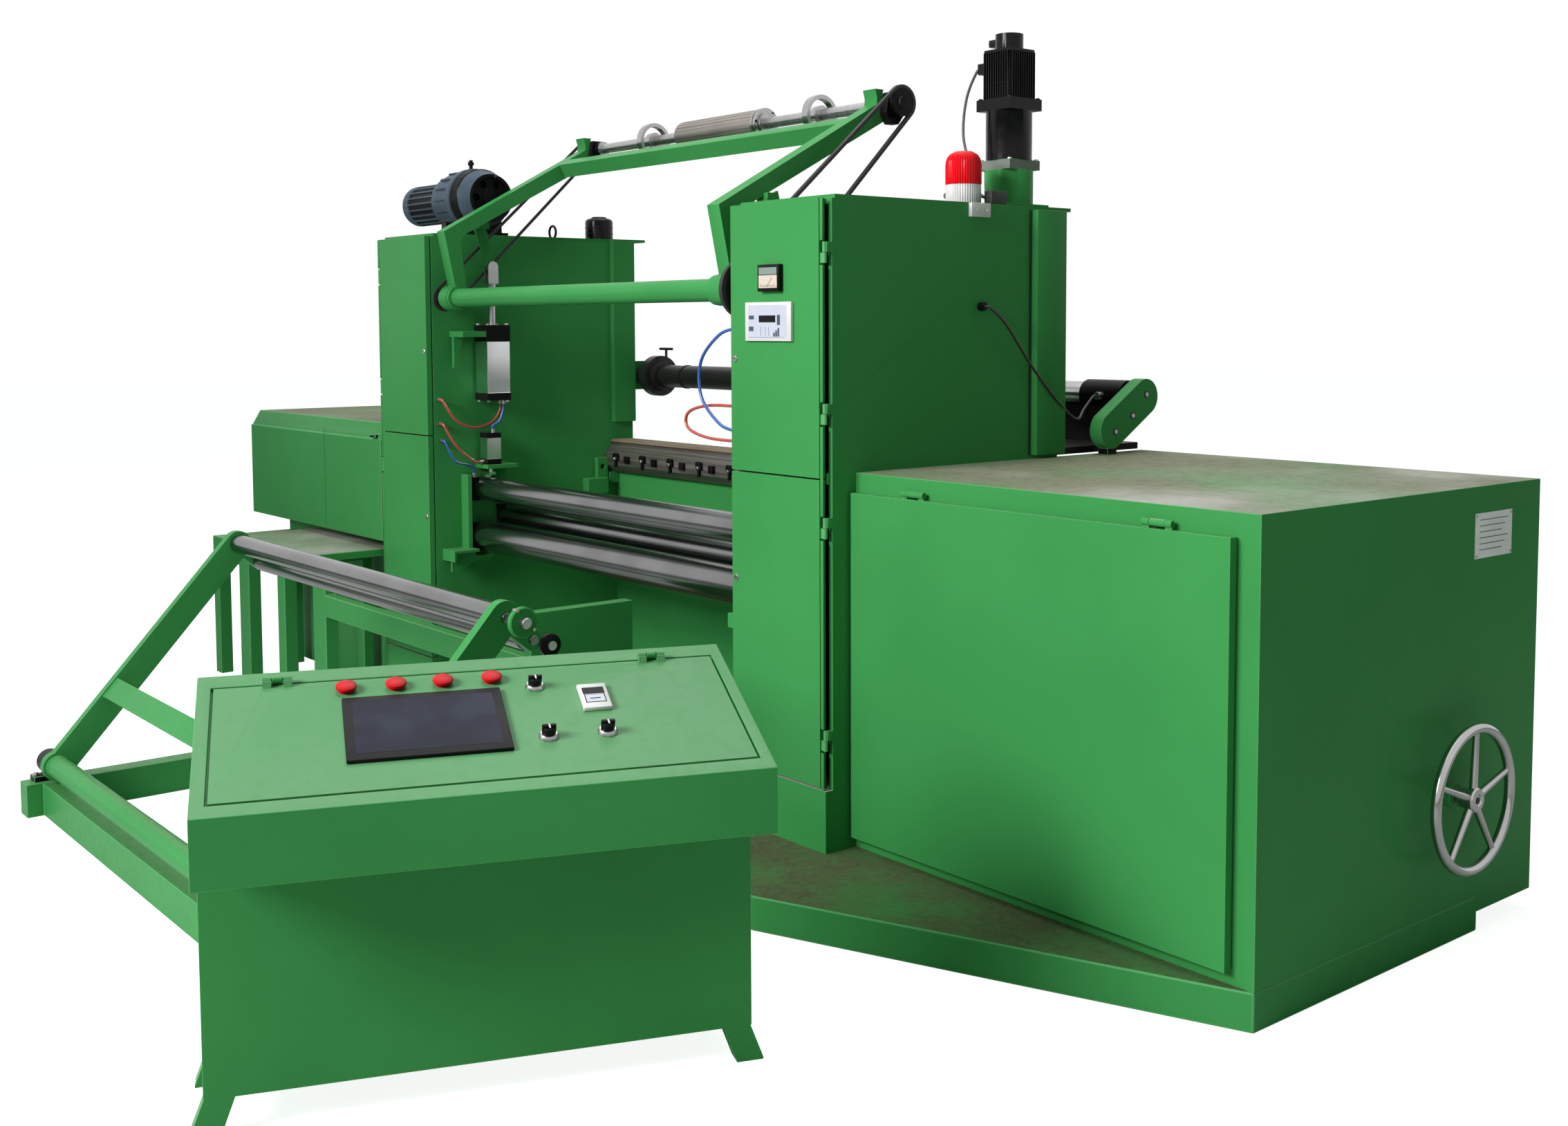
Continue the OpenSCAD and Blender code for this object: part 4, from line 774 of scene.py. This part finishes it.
def row_points(tree, g_in):
    """Points a step apart, along a line; they need no turn."""
    line = add_node(tree, "GeometryNodeMeshLine", {"Count": g_in.outputs["Count"],
                                                   "Start Location": g_in.outputs["First"],
                                                   "Offset": g_in.outputs["Step"]})
    return line.outputs["Mesh"], None


TREES = {}
for title, points_of, shape_of, sizes in (
        ("ring_of_screws", ring_points, hex_head, [("Count", INTEGER), ("Ring Radius", FLOAT),
                                                   ("Head Radius", FLOAT), ("Head Height", FLOAT)]),
        ("ring_of_ribs", ring_points, bar, [("Count", INTEGER), ("Ring Radius", FLOAT),
                                            ("Bar Size", VECTOR)]),
        ("row_of_screws", row_points, hex_head, [("Count", INTEGER), ("First", VECTOR),
                                                 ("Step", VECTOR), ("Head Radius", FLOAT),
                                                 ("Head Height", FLOAT)])):
    tree, g_in, g_out = new_tree(title, sizes + [("Finish", MATERIAL)])
    points, rotation = points_of(tree, g_in)
    close_tree(tree, points, shape_of(tree, g_in), rotation, g_in, g_out)
    TREES[title] = tree
print("trees", sorted(TREES))

# %% [markdown]
# `grown` hangs a tree on an empty mesh, sets its inputs by their identifiers, keeps the evaluated
# result as a plain mesh, and removes the modifier. The pattern is made about Z and is then turned
# to its axis by the shortest way, so that a pattern that already stands on Z isn't turned at all.

# %% Growing a pattern
def grown(name, title, sizes, mat, body, origin=(0, 0, 0), axis=(0, 0, 1), spin=0.0):
    """Sets a tree's inputs, in millimetres, and keeps the result as a piece of that body."""
    tree = TREES[title]
    seed = bpy.data.objects.new("seed", bpy.data.meshes.new("seed"))
    bpy.context.scene.collection.objects.link(seed)
    mod = seed.modifiers.new("grow", "NODES")
    mod.node_group = tree
    for item in tree.interface.items_tree:
        if item.in_out != "INPUT":
            continue
        if item.name == "Finish":
            mod[item.identifier] = mat
        else:
            mod[item.identifier] = sizes[item.name]
    bpy.context.view_layer.update()
    evaluated = seed.evaluated_get(bpy.context.evaluated_depsgraph_get())
    mesh = bpy.data.meshes.new_from_object(evaluated)
    seed.modifiers.remove(mod)
    bpy.data.objects.remove(seed)
    turn = Vector((0, 0, 1)).rotation_difference(Vector(axis)).to_matrix().to_4x4()
    mesh.transform(Matrix.Scale(0.001, 4) @ Matrix.Translation(origin) @ turn
                   @ Matrix.Rotation(spin, 4, "Z"))
    obj = bpy.data.objects.new(name, mesh)
    bpy.context.scene.collection.objects.link(obj)
    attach(obj, body)
    return obj


print("patterns can grow")

# %% [markdown]
# The side frames, doors and cabinets are folded sheet under apple-green enamel. Dust lies on
# their tops, and the hinge knuckles are rubbed pale. The lifting eye on the left top plate, the
# small catch on the left cabinet and the guide stand's pillow bearings are black, and the stand's
# pivot shaft is bare steel. Each such part is in the same node as its sheet metal, so `dressed` is
# told by place which faces are which.

# %% Frames, doors and cabinets
def knuckles(p, n):
    return 1 if abs(p.x) > 1271 and p.y < 15 else 0


def pillows(p, n):
    return 1 if p.z > 98.5 else 0


for name in ("left_frame", "right_frame"):
    dressed(name, [enamel_dusty, edge_paint], 0.004, edge_paint, knuckles)
for name in ("left_upper_door", "left_lower_door", "right_upper_door", "right_lower_door"):
    dressed(name, [enamel, edge_paint], 0.003, edge_paint, knuckles)
dressed("top_plates", [enamel_dusty, black_enamel], 0.002, edge_paint,
        lambda p, n: 1 if p.z > 1768.5 else 0)
dressed("right_cabinet", enamel_dusty, 0.004, edge_paint)
dressed("left_cabinet", [enamel_dusty, black_plastic], 0.004, edge_paint,
        lambda p, n: 1 if -1367 < p.x < -1318 and p.y < 13 else 0)
dressed("base_plinth", enamel_trodden, 0.004, edge_paint)
for name, mats, pick in (("cabinet_panel", enamel, None), ("console_body", enamel, None),
                         ("stand_floor_frame", [enamel, black_enamel], pillows),
                         ("feed_frame", enamel, None), ("wall_brackets", enamel, None)):
    dressed(name, mats, 0.003, edge_paint, pick)
dressed("feed_table", enamel_dusty, 0.003, edge_paint)
dressed("rear_panel", enamel, 0.002)
dressed("stand_arms", [enamel, bright_steel], 0.003, edge_paint,
        lambda p, n: 1 if math.hypot(p.y + 1340, p.z - 148) < 16 and abs(n.x) < 0.5 else 0)
print("sheet metal dressed")

# %% [markdown]
# The swing frame carries the winding shaft: green box-section arms that turn on a steel journal,
# which comes through a black disc. The shaft has a brown sleeve with bright clamp rings at its
# right end, a bright ring chuck further out on each side, and black belt wheels at its ends.

# %% Swing frame and winding shaft
WIND, PIVOT = (645, 2088), (60, 1537)


def about(p, centre):
    """How far a point lies from an axis along X."""
    return math.hypot(p.y - centre[0], p.z - centre[1])


def swing_finish(p, n):
    if abs(p.x) > 846.5 and about(p, PIVOT) < 20:
        return 1
    return 2 if abs(p.x) > 845.5 and about(p, PIVOT) < 39 else 0


def shaft_finish(p, n):
    away = about(p, WIND)
    if p.x < -845 or p.x > 871:
        return 1 if away > 18 or abs(n.x) > 0.5 else 0
    if -758 < p.x < -730 and away > 18:
        return 1
    if abs(p.x) <= 214.5 and away > 40:
        return 2 if abs(n.x) < 0.5 else 3
    return 3 if away > 20 else 0


dressed("swing_frame", [enamel, bright_steel, black_enamel], 0.003, edge_paint, swing_finish)
dressed("winding_shaft", [bright_steel, black_plastic, sleeve_steel, polished_alloy], 0.0015,
        pick=shaft_finish)
dressed("winding_bearings", black_enamel, 0.003)
print("swing frame dressed")

# %% [markdown]
# A belt runs from a wheel on the pivot up to one on the shaft, at each side. Seen from the side it
# is two arcs joined by straight strands, so it is built as a closed band round both circles. The
# belts stay on the swing frame, because the arms hold both of their wheels at a fixed distance.

# %% Belts and their wheels
BELT_THICKNESS = 10.5
bands = Kit()
for mid, wide, low, high in ((879, 14, 70, 41), (-867, 6, 36, 26)):
    bands.band(mid, wide, (PIVOT, low), (WIND, high), BELT_THICKNESS)
bands.piece("rubber_belts", [belt_rubber], "swing_frame", 0.0015, stands_for=("belts",))
for name in ("left_pulley", "right_pulley"):
    dressed(name, cast_iron, 0.002)
print("belts laid")

# %% [markdown]
# Ribs run along the sleeve all round, and small black screws stand in the clamp rings at its right
# end. Both repeat about the shaft, so they are grown.

# %% Sleeve ribs and clamp screws
grown("sleeve_ribs", "ring_of_ribs",
      {"Count": 24, "Ring Radius": 46.6, "Bar Size": (2.2, 3.2, 420.0)},
      sleeve_steel, "winding_shaft", (0, *WIND), (1, 0, 0))
for x in (219, 233):
    grown("clamp_screws_%d" % x, "ring_of_screws",
          {"Count": 3, "Ring Radius": 43.0, "Head Radius": 3.2, "Head Height": 3.0},
          black_plastic, "winding_shaft", (x + 6, *WIND), (1, 0, 0), 0.4)
print("winder dressed")

# %% [markdown]
# The gearmotor lies on the left frame. From its face backwards it has a dished black middle in a
# blue-grey ring, a black ring, the blue-grey housing, the finned motor, with painted shade in black
# between its fins, and a greyer end cover. Its lifting eye is black. The bands are told apart by
# how far they lie behind the face.

# %% Gearmotor
GEAR, GEAR_FACE = (255, 1900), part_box("gearmotor")[1][0] * 1000


def gear_finish(p, n):
    behind, away = GEAR_FACE - p.x, about(p, GEAR)
    if p.z > 2012 and abs(p.x - (GEAR_FACE - 150)) < 14:
        return 1
    if behind < 40 and away < 76:
        return 1
    if behind < 62:
        return 0
    if behind < 107:
        return 1
    if behind < 283:
        return 0
    # Black near the axis in the finned part is painted shade in the valleys between the fins.
    if behind < 521 and away < 70.6:
        return 1
    return 2 if behind > 560 else 0


dressed("gearmotor", [motor_grey, black_enamel, flange_grey], 0.0015, pick=gear_finish)
dressed("motor_brackets", black_enamel, 0.003)
grown("gear_flange_screws", "ring_of_screws",
      {"Count": 8, "Ring Radius": 95.0, "Head Radius": 6.0, "Head Height": 7.0},
      black_enamel, "machine", (GEAR_FACE - 62, *GEAR), (1, 0, 0), 0.2)
print("gearmotor dressed")

# %% [markdown]
# The servo is glossy black, on a green stand with a grey flange on top. Its pale plate is left
# blank. Two black plugs stand out of its left side, and its cable leaves the lower one.

# %% Servo
dressed("servo_stand", [enamel, flange_grey], 0.002, edge_paint,
        lambda p, n: 1 if p.z > 1873.5 else 0)
dressed("servo_motor", gloss_black, 0.002)
for z, reach in ((1901, 77), (2072, 80)):
    grown("servo_screws_%d" % z, "ring_of_screws",
          {"Count": 4, "Ring Radius": float(reach), "Head Radius": 6.0, "Head Height": 8.0},
          bright_steel if z < 2000 else black_enamel, "machine", (1185, 775, z), (0, 0, 1),
          math.pi / 4)
plate = Kit()
plate.block((1134.4, 1135.2), (752, 776), (2110, 2146), 0)
plate.rod((1090, 762, 2166), (1106, 762, 2166), 13, 1, 24, chamfer=2)
plate.rod((1100, 787, 2240), (1116, 787, 2240), 10, 1, 24, chamfer=2)
plate.piece("servo_plate_and_plugs", [white_plastic, black_plastic], "machine")
print("servo dressed")

# %% [markdown]
# The rear drive lies behind the right frame: a motor, bare alloy on its left part and black on its
# right, and a green belt guard beside it. Three bright screws show on the guard's outer face, each
# in a dark disc that is a painted shadow, and what stands out below its edge is black.

# %% Rear drive
dressed("rear_motor", [black_enamel, polished_alloy], 0.004,
        pick=lambda p, n: 1 if p.x < 1129.5 else 0)
dressed("belt_guard", [enamel, black_enamel], 0.004, edge_paint,
        lambda p, n: 1 if p.z < 1078 else 0)
guard = Kit()
for y, z in ((1190, 1232), (1128, 1172), (1052, 1128)):
    guard.rod((1352, y, z), (1355, y, z), 7, 0, 6)
    # Each dark disc behind a screw head is a painted shadow round the head.
    guard.rod((1352, y, z), (1353, y, z), 11, 1, 24)
guard.piece("belt_guard_screws", [bright_steel, dark_gap_and_painted_shadow], "machine")
print("rear drive dressed")

# %% [markdown]
# A glossy black cover stands over the jack on the left frame's top plate. It is turned from a
# profile, so its shoulder is round, with a low boss on top and two thin hoops round its wall.

# %% Jack cover
DECK, UP = 1768, (0, 0, 1)
JACK = (-962, 765)
jack = Kit().turned([(0, 0), (53, 0), (53, 68), (50, 75), (42, 80), (0, 80)], (*JACK, DECK), UP, 0,
                    64)
jack.turned([(0, 79), (30, 79), (30, 84), (26, 87), (0, 87)], (*JACK, DECK), UP, 0, 48)
for rise in (22, 46):
    jack.hoop((*JACK, DECK + rise), UP, 52.6, 1.6)
jack.piece("turned_jack_cover", [gloss_black], "machine", stands_for=("jack_cover",))
print("jack cover turned")

# %% [markdown]
# The beacon is a fluted red lens on a fluted white base. Both are turned shapes whose wall ripples
# round the axis, which breaks the highlight into stripes. Four sides to a flute are enough for a
# wave of this size. A small dark junction block stands beside the base.

# %% Beacon
FLUTES, SIDES_TO_A_FLUTE = 44, 4
BEACON, BASE_HEIGHT = (1212, 567), 55
lens = Kit().turned([(0, 0), (49.5, 0), (50, 3), (50, 50), (49, 61), (45.5, 72), (38, 82),
                     (24, 89.5), (0, 92)], (*BEACON, DECK + BASE_HEIGHT), UP, 0,
                    FLUTES * SIDES_TO_A_FLUTE, FLUTES, 1.6)
lens.piece("fluted_beacon_lens", [red_lens], "machine", stands_for=("beacon_lens",))
base = Kit().turned([(0, 0), (48, 0), (49, 2), (49, 51), (47, BASE_HEIGHT), (0, BASE_HEIGHT)],
                    (*BEACON, DECK), UP, 0, FLUTES * SIDES_TO_A_FLUTE, FLUTES, 1.3)
base.block((1260, 1288), (600, 660), (DECK, DECK + 36), 1, 2.0)
base.block((1259.4, 1260), (606, 654), (1785, 1786.2), 1)
base.block((1264, 1284), (599.3, 600), (1785, 1786.2), 1)
base.piece("fluted_beacon_base", [white_plastic, dark_gap_and_painted_shadow], "machine", stands_for=("beacon_base",))
print("beacon flutes", FLUTES)

# %% [markdown]
# The rolls are polished and the spindle is oily iron. Each turns on journals thinner than its
# barrel. A journal here is a many-sided bar in a many-sided bore, so its corners would cut into the
# bearing as it turns. The radius of the journals is therefore taken down by about a third of a
# millimetre, which doesn't show. The guide stand's rolls keep their own shape.

# %% Rolls and spindle
THINNER, CENTRE, JOURNAL_SHARE = 0.35, 2, 0.75


def ease_journals(obj, axis):
    """Thins all that is nearer a turned piece's axis than three quarters of its largest radius."""
    y, z = axis[0] / 1000, axis[1] / 1000
    arms = [math.hypot(v.co.y - y, v.co.z - z) for v in obj.data.vertices]
    for v, arm in zip(obj.data.vertices, arms):
        if CENTRE / 1000 < arm < JOURNAL_SHARE * max(arms):
            k = 1 - THINNER / 1000 / arm
            v.co.y, v.co.z = y + (v.co.y - y) * k, z + (v.co.z - z) * k


for name in ("stand_upper_roll", "stand_lower_roll"):
    dressed(name, polished_roll, 0.001)
for name, axis in (("upper_roll", (205, 850)), ("middle_roll", (312, 745)),
                   ("lower_roll", (205, 680))):
    ease_journals(dressed(name, polished_roll, 0.001), axis)
ease_journals(dressed("spindle", cast_iron, 0.001), (920, 1245))
dressed("roll_bearings", black_enamel, 0.003)
print("rolls dressed, journals thinner by", THINNER, "mm")

# %% [markdown]
# The air cylinders have black end caps on a tube of drawn alloy, and bright rods. The knife beam is
# worn steel; its flat top holds brown dust, and its row of clamps is black.

# %% Cylinders and knife beam
dressed("lift_rods", bright_steel, 0.0015)
dressed("lift_cylinders", [tube_alloy, black_enamel], 0.0025,
        pick=lambda p, n: 1 if p.z > 1383.5 or p.z < 1198.5 else 0)
dressed("press_cylinders", [tube_alloy, black_enamel, bright_steel], 0.0015,
        pick=lambda p, n: 1 if 936 < p.z < 960.5 or p.z > 1036.5 else 0)
dressed("knife_beam", [worn_steel, cover_dust, black_enamel], 0.0015,
        pick=lambda p, n: 2 if p.y < 737.6 else (1 if p.z > 989 and abs(n.x) < 0.5 else 0))
print("cylinders and beam dressed")

# %% [markdown]
# Each knife clamp has a bolt through it, and a small black block stands to the right of each clamp.
# The clamps are one pitch apart, so bolts and blocks are set out by the same pitch. The hoses'
# fittings are bright steel, and the gland where the motor's cable leaves the frame is black.

# %% Clamp bolts
FIRST_CLAMP, CLAMP_PITCH, CLAMPS = -810, 180, 10
bolts = Kit()
for i in range(CLAMPS):
    x = FIRST_CLAMP + i * CLAMP_PITCH
    bolts.rod((x, 733, 936), (x, 721, 932), 7.5, 0, 6, chamfer=1)
    bolts.block((x + 60, x + 88), (726, 738.5), (918, 946), 1, 2)
bolts.piece("knife_clamp_bolts", [bright_steel, black_enamel], "machine")
dressed("hose_fittings", [bright_steel, black_plastic], 0.0005,
        pick=lambda p, n: 1 if p.x > 1285 else 0)
print("clamp bolts", CLAMPS)

# %% [markdown]
# The handwheel is polished alloy: a turned hub with a dark screw in its middle, a round rim, and
# five spokes that taper from the hub to the rim. Each of these is a shape that a kit already has,
# so the wheel is put together from a turned profile, a hoop and tapered rods.

# %% Handwheel
AXLE, HUB_X, WHEEL_RADIUS, RIM, SPOKES = (839, 360), 2521, 175, 24, 5
wheel = Kit()
wheel.turned([(0, 0), (12, 0), (12, 24), (23, 28), (24, 52), (29, 56), (29, 64), (26, 68), (14, 69),
              (12, 66), (0, 66)], (HUB_X, *AXLE), (1, 0, 0), 0, 48)
wheel.hoop((2578, *AXLE), (1, 0, 0), WHEEL_RADIUS - RIM / 2, RIM / 2, 0, 96, 20)
wheel.turned([(0, 65), (8, 65), (8, 67.5), (0, 67.5)], (HUB_X, *AXLE), (1, 0, 0), 1, 6)
for i in range(SPOKES):
    a = -math.radians(20 + 72 * i)
    way = Vector((0, -math.sin(math.pi / 2 + a), math.cos(math.pi / 2 + a)))
    wheel.rod(Vector((2576, *AXLE)) + way * 20,
              Vector((2577, *AXLE)) + way * (WHEEL_RADIUS + 3 - RIM), 9.5, 0, 20, 7.5)
wheel.piece("spoked_handwheel", [polished_alloy, dark_gap_and_painted_shadow], "handwheel", stands_for=("handwheel",))
print("handwheel", 2 * WHEEL_RADIUS, "mm across")

# %% [markdown]
# A lift cylinder is held together by four tie rods, which show as nuts on both of its caps, and
# the guide stand's two pillow bearings are held by two hexagon screws each. Nuts and screws look
# alike at this size, so both use the same head.

# %% Tie rod nuts and pillow screws
CYLINDER_X = 843
for side in (-1, 1):
    x = side * CYLINDER_X
    for z, up in ((1442, 1), (1172, -1)):
        grown("tie_rod_nuts_%d_%d" % (side, z), "ring_of_screws",
              {"Count": 4, "Ring Radius": 52.0, "Head Radius": 6.5, "Head Height": 12.0},
              bright_steel, "machine", (x, 232, z), (0, 0, up), math.pi / 4)
for x in (-700, 1104):
    grown("pillow_screws_%d" % x, "row_of_screws",
          {"Count": 2, "First": (x, -1385.0, 118.0), "Step": (0.0, 90.0, 0.0), "Head Radius": 8.0,
           "Head Height": 12.0}, bright_steel, "machine")
print("nuts and screws grown")

# %% [markdown]
# The console's lid slopes and the whole console is turned on the floor. Its instruments are
# therefore built flat, in a frame of their own (u along the lid, s up its slope, h above it), and
# placed by one matrix. LEAN makes a length read on the level into one along the slope.

# %% Console and its lid
TURN, SLOPE = math.radians(68.3), math.atan((778 - 632) / 439)
U, V = Vector((math.cos(TURN), math.sin(TURN), 0)), Vector((-math.sin(TURN), math.cos(TURN), 0))
UP_SLOPE = V * math.cos(SLOPE) + Vector((0, 0, math.sin(SLOPE)))
OUT = Vector((0, 0, math.cos(SLOPE))) - V * math.sin(SLOPE)
LID = Matrix.Translation((1742, -1756, 632)) @ Matrix((U, UP_SLOPE, OUT)).transposed().to_4x4()
LEAN = 1 / math.cos(SLOPE)


# The hood's upward faces get the painted-sheen green; its other faces keep the plain enamel.
dressed("console_hood", [enamel, console_enamel_painted_sheen], 0.0035, edge_paint,
        lambda p, n: 1 if n.z > 0.5 else 0)
dressed("console_lid", console_enamel_painted_sheen, 0.002, edge_paint)
print("console slope", round(math.degrees(SLOPE), 1), "degrees")

# %% [markdown]
# The screen sits in a black bezel. The buttons are flat red mushrooms, and the knobs are
# black with a raised bar to grip, on broad steel rings. A white line on each bar shows where it
# points. Beside them is a small white meter with a pale face. All of them ride on the lid.

# %% Screen, buttons and knobs
screen = Kit(LID)
screen.block((258, 552), (118 * LEAN, 322 * LEAN), (0, 8), 0, 2.5)
screen.block((276, 534), (137 * LEAN, 304 * LEAN), (7.6, 8.3), 1)
screen.piece("bezel_and_screen", [black_plastic, screen_glass], "console_lid",
             stands_for=("touch_screen",))

panel = Kit(LID)
for u in (268, 360, 448, 541):
    s = 358 * LEAN
    panel.turned([(0, 0), (15, 0), (15, 2.5), (11.5, 4), (0, 4)], (u, s, 0), (0, 0, 1), 0, 40)
    panel.turned([(0, 3.5), (13, 3.5), (13, 6), (0, 6)], (u, s, 0), (0, 0, 1), 0, 32)
    panel.turned([(0, 5), (15, 5), (19, 6.5), (20, 9), (19.4, 12), (16, 14.4), (8, 15.6), (0, 16)],
                 (u, s, 0), (0, 0, 1), 0, 40)
for u, v in ((620, 325), (620, 155), (730, 155)):
    s = v * LEAN
    panel.turned([(0, 0), (19, 0), (19, 3), (15.5, 8), (0, 8)], (u, s, 0), (0, 0, 1), 2, 40)
    panel.turned([(0, 7), (12, 7), (12, 18), (10.5, 20.5), (0, 21)], (u, s, 0), (0, 0, 1), 1, 40)
    panel.block((u - 13, u + 13), (s - 3.6, s + 3.6), (8, 26), 1, 1.5)
    panel.block((u - 1.5, u + 1.5), (s - 12, s + 2), (25.8, 26.4), 3)
panel.block((698, 754), (226 * LEAN, 310 * LEAN), (0, 9), 3, 2.5)
panel.block((705, 747), (273 * LEAN, 295 * LEAN), (8.7, 9.4), 1)
panel.block((706, 746), (243 * LEAN, 271 * LEAN), (8.7, 9.3), 1)
panel.block((708, 744), (245 * LEAN, 269 * LEAN), (9.0, 9.6), 4)
panel.block((716, 736), (255 * LEAN, 258 * LEAN), (9.4, 9.8), 1)
panel.piece("buttons_knobs_and_meter",
            [red_plastic, black_plastic, bright_steel, white_plastic, pale_panel],
            "console_lid", stands_for=("console_controls",))
print("console controls placed")

# %% [markdown]
# The door's meter has a cream scale below a grey window. The controller's face carries a display,
# keys and a small bar chart, all plain marks without any words.

# %% Door instruments
gauge = Kit()
gauge.block((1037, 1125), (-16, 0), (1527, 1597), 0, 1.5)
gauge.block((1044, 1118), (-16.4, -15.5), (1571, 1589), 1)
gauge.block((1043, 1119), (-16.5, -15.5), (1536, 1569), 2)
gauge.block((1048, 1114), (-16.7, -16.3), (1540, 1541), 0)
for k in range(7):
    gauge.block((1052 + k * 9.3, 1052.7 + k * 9.3), (-16.7, -16.3),
                (1541, 1545 + 3 * (k % 3 == 0)), 0)
gauge.rod((1081, -16.8, 1541), (1098, -16.8, 1563), 0.5, 0, 8)
gauge.block((975, 1168), (-10, 0), (1398, 1500), 3, 2.0)
gauge.block((990, 1150), (-10.3, -9.5), (1406, 1492), 4)
gauge.block((1036, 1105), (-10.9, -10.2), (1447, 1465), 0)
for x0, x1, z0, z1 in ((993, 1014, 1455, 1465), (993, 1012, 1424, 1436),
                       (1112, 1124, 1440, 1466), (1096, 1103, 1410, 1420),
                       (1105, 1112, 1410, 1426), (1114, 1121, 1410, 1432)):
    gauge.block((x0, x1), (-10.7, -10.2), (z0, z1), 5)
gauge.block((992, 1138), (-10.5, -10.2), (1407.4, 1408.2), 5)
for x in (1043, 1062, 1076):
    gauge.block((x, x + 1.2), (-10.5, -10.2), (1412, 1436), 5)
gauge.piece("meter_and_controller",
            [black_plastic, grey_window, cream_plastic, white_plastic, pale_panel, motor_grey],
            "right_upper_door", stands_for=("door_instruments",))
print("door instruments placed")

# %% [markdown]
# Thin pieces break up the big green faces. A channel with a dark seam beside it runs up the right
# frame's outer side. Narrow strips fill the gap beside the doors' hinged edges and stop short at
# each hinge. The left cabinet's front has two dark seams. A plate with plain lines is screwed to
# the right cabinet's end, and a white junction box to the right frame.

# %% Channel, strips, seams and plates
HINGE_HEIGHTS, HALF_HINGE = (377, 924, 1214, 1621), 31
trim = Kit()
trim.block((1290, 1312), (760, 880), (1072, 1757.5), 3, 1.5)
trim.block((1290, 1290.8), (748, 757), (1072, 1757.5), 0)
stops = [235] + [z + d for z in HINGE_HEIGHTS for d in (-HALF_HINGE, HALF_HINGE)] + [1757]
for low, high in zip(stops[::2], stops[1::2]):
    for x in ((1271, 1282), (-1282, -1271)):
        trim.block(x, (0.6, 3), (low, high), 3, 0.4)
cabinet_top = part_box("left_cabinet")[1][2] * 1000
trim.block((-1806.3, -1804.5), (-0.5, 0.4), (634, cabinet_top - 40), 0)
trim.block((-1803, -1296), (-0.5, 0.4), (632.5, 634), 0)
trim.block((2512, 2513.2), (938, 1108), (893, 999), 4, 0.3)
for k in range(6):
    trim.block((2513, 2513.5), (958, 1088 - 14 * (k % 3)), (982 - k * 14, 983.6 - k * 14), 5)
trim.block((1290, 1303), (508, 582), (1729, 1767), 1, 2)
for y in (526, 564):
    trim.rod((1303, y, 1748), (1305.5, y, 1748), 4, 2, 12)
for y in (944, 1102):
    for z in (899, 993):
        trim.rod((2512, y, z), (2514.6, y, z), 3.0, 2, 12)
trim.piece("seams_and_plate", [dark_gap_and_painted_shadow, white_plastic, bright_steel, enamel, plate_white,
                               motor_grey], "machine")
print("trim placed, strips", len(stops))

# %% [markdown]
# The guide stand's two rolls end in hubs on the outside of its right arm: a green one with two
# screws in it and a smaller black one, each with a steel shaft end. They start a millimetre inside
# the arm, so that no gap shows.

# %% Roll end hubs
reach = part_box("stand_arms")[1][0] * 1000
hub = Kit()
hub.turned([(0, -1), (36, -1), (36, 10), (33, 13), (0, 13)], (reach, -786, 760), (1, 0, 0), 0, 48)
hub.turned([(0, 12), (13, 12), (13, 26), (11, 28), (0, 28)], (reach, -786, 760), (1, 0, 0), 2, 40)
hub.turned([(0, -1), (27, -1), (27, 9), (24, 11), (0, 11)], (reach, -714, 698), (1, 0, 0), 1, 40)
hub.turned([(0, 10), (11, 10), (11, 17), (0, 17)], (reach, -714, 698), (1, 0, 0), 2, 32)
for y, z in ((-805, 790), (-762, 742)):
    hub.rod((reach, y, z), (reach + 17, y, z), 4.5, 2, 6)
hub.piece("roll_end_hub", [enamel, black_enamel, bright_steel], "stand_arms")
print("hubs at x", round(reach), "mm")

# %% [markdown]
# Each frame door has a small round latch near its free edge; its key slot is shown by a dark bar
# of painted shade. It rides on its door, so it swings out with it.

# %% Door latches
for body, x, z in (("left_upper_door", -916, 1350), ("left_lower_door", -916, 759),
                   ("right_upper_door", 918, 1350), ("right_lower_door", 918, 759)):
    latch = Kit()
    latch.turned([(0, 0), (9, 0), (9, 2), (7.5, 3.5), (0, 3.5)], (x, 0, z), (0, -1, 0), 0, 32)
    # The thin dark bar on the latch's face is the key slot's painted shade.
    latch.block((x - 5.5, x + 5.5), (-4.0, -3.4), (z - 1.0, z + 1.0), 1)
    latch.piece("latch_" + body, [bright_steel, dark_gap_and_painted_shadow], body)
    print("latch on", body)

# %% [markdown]
# Dressing is meant to change no overall size.
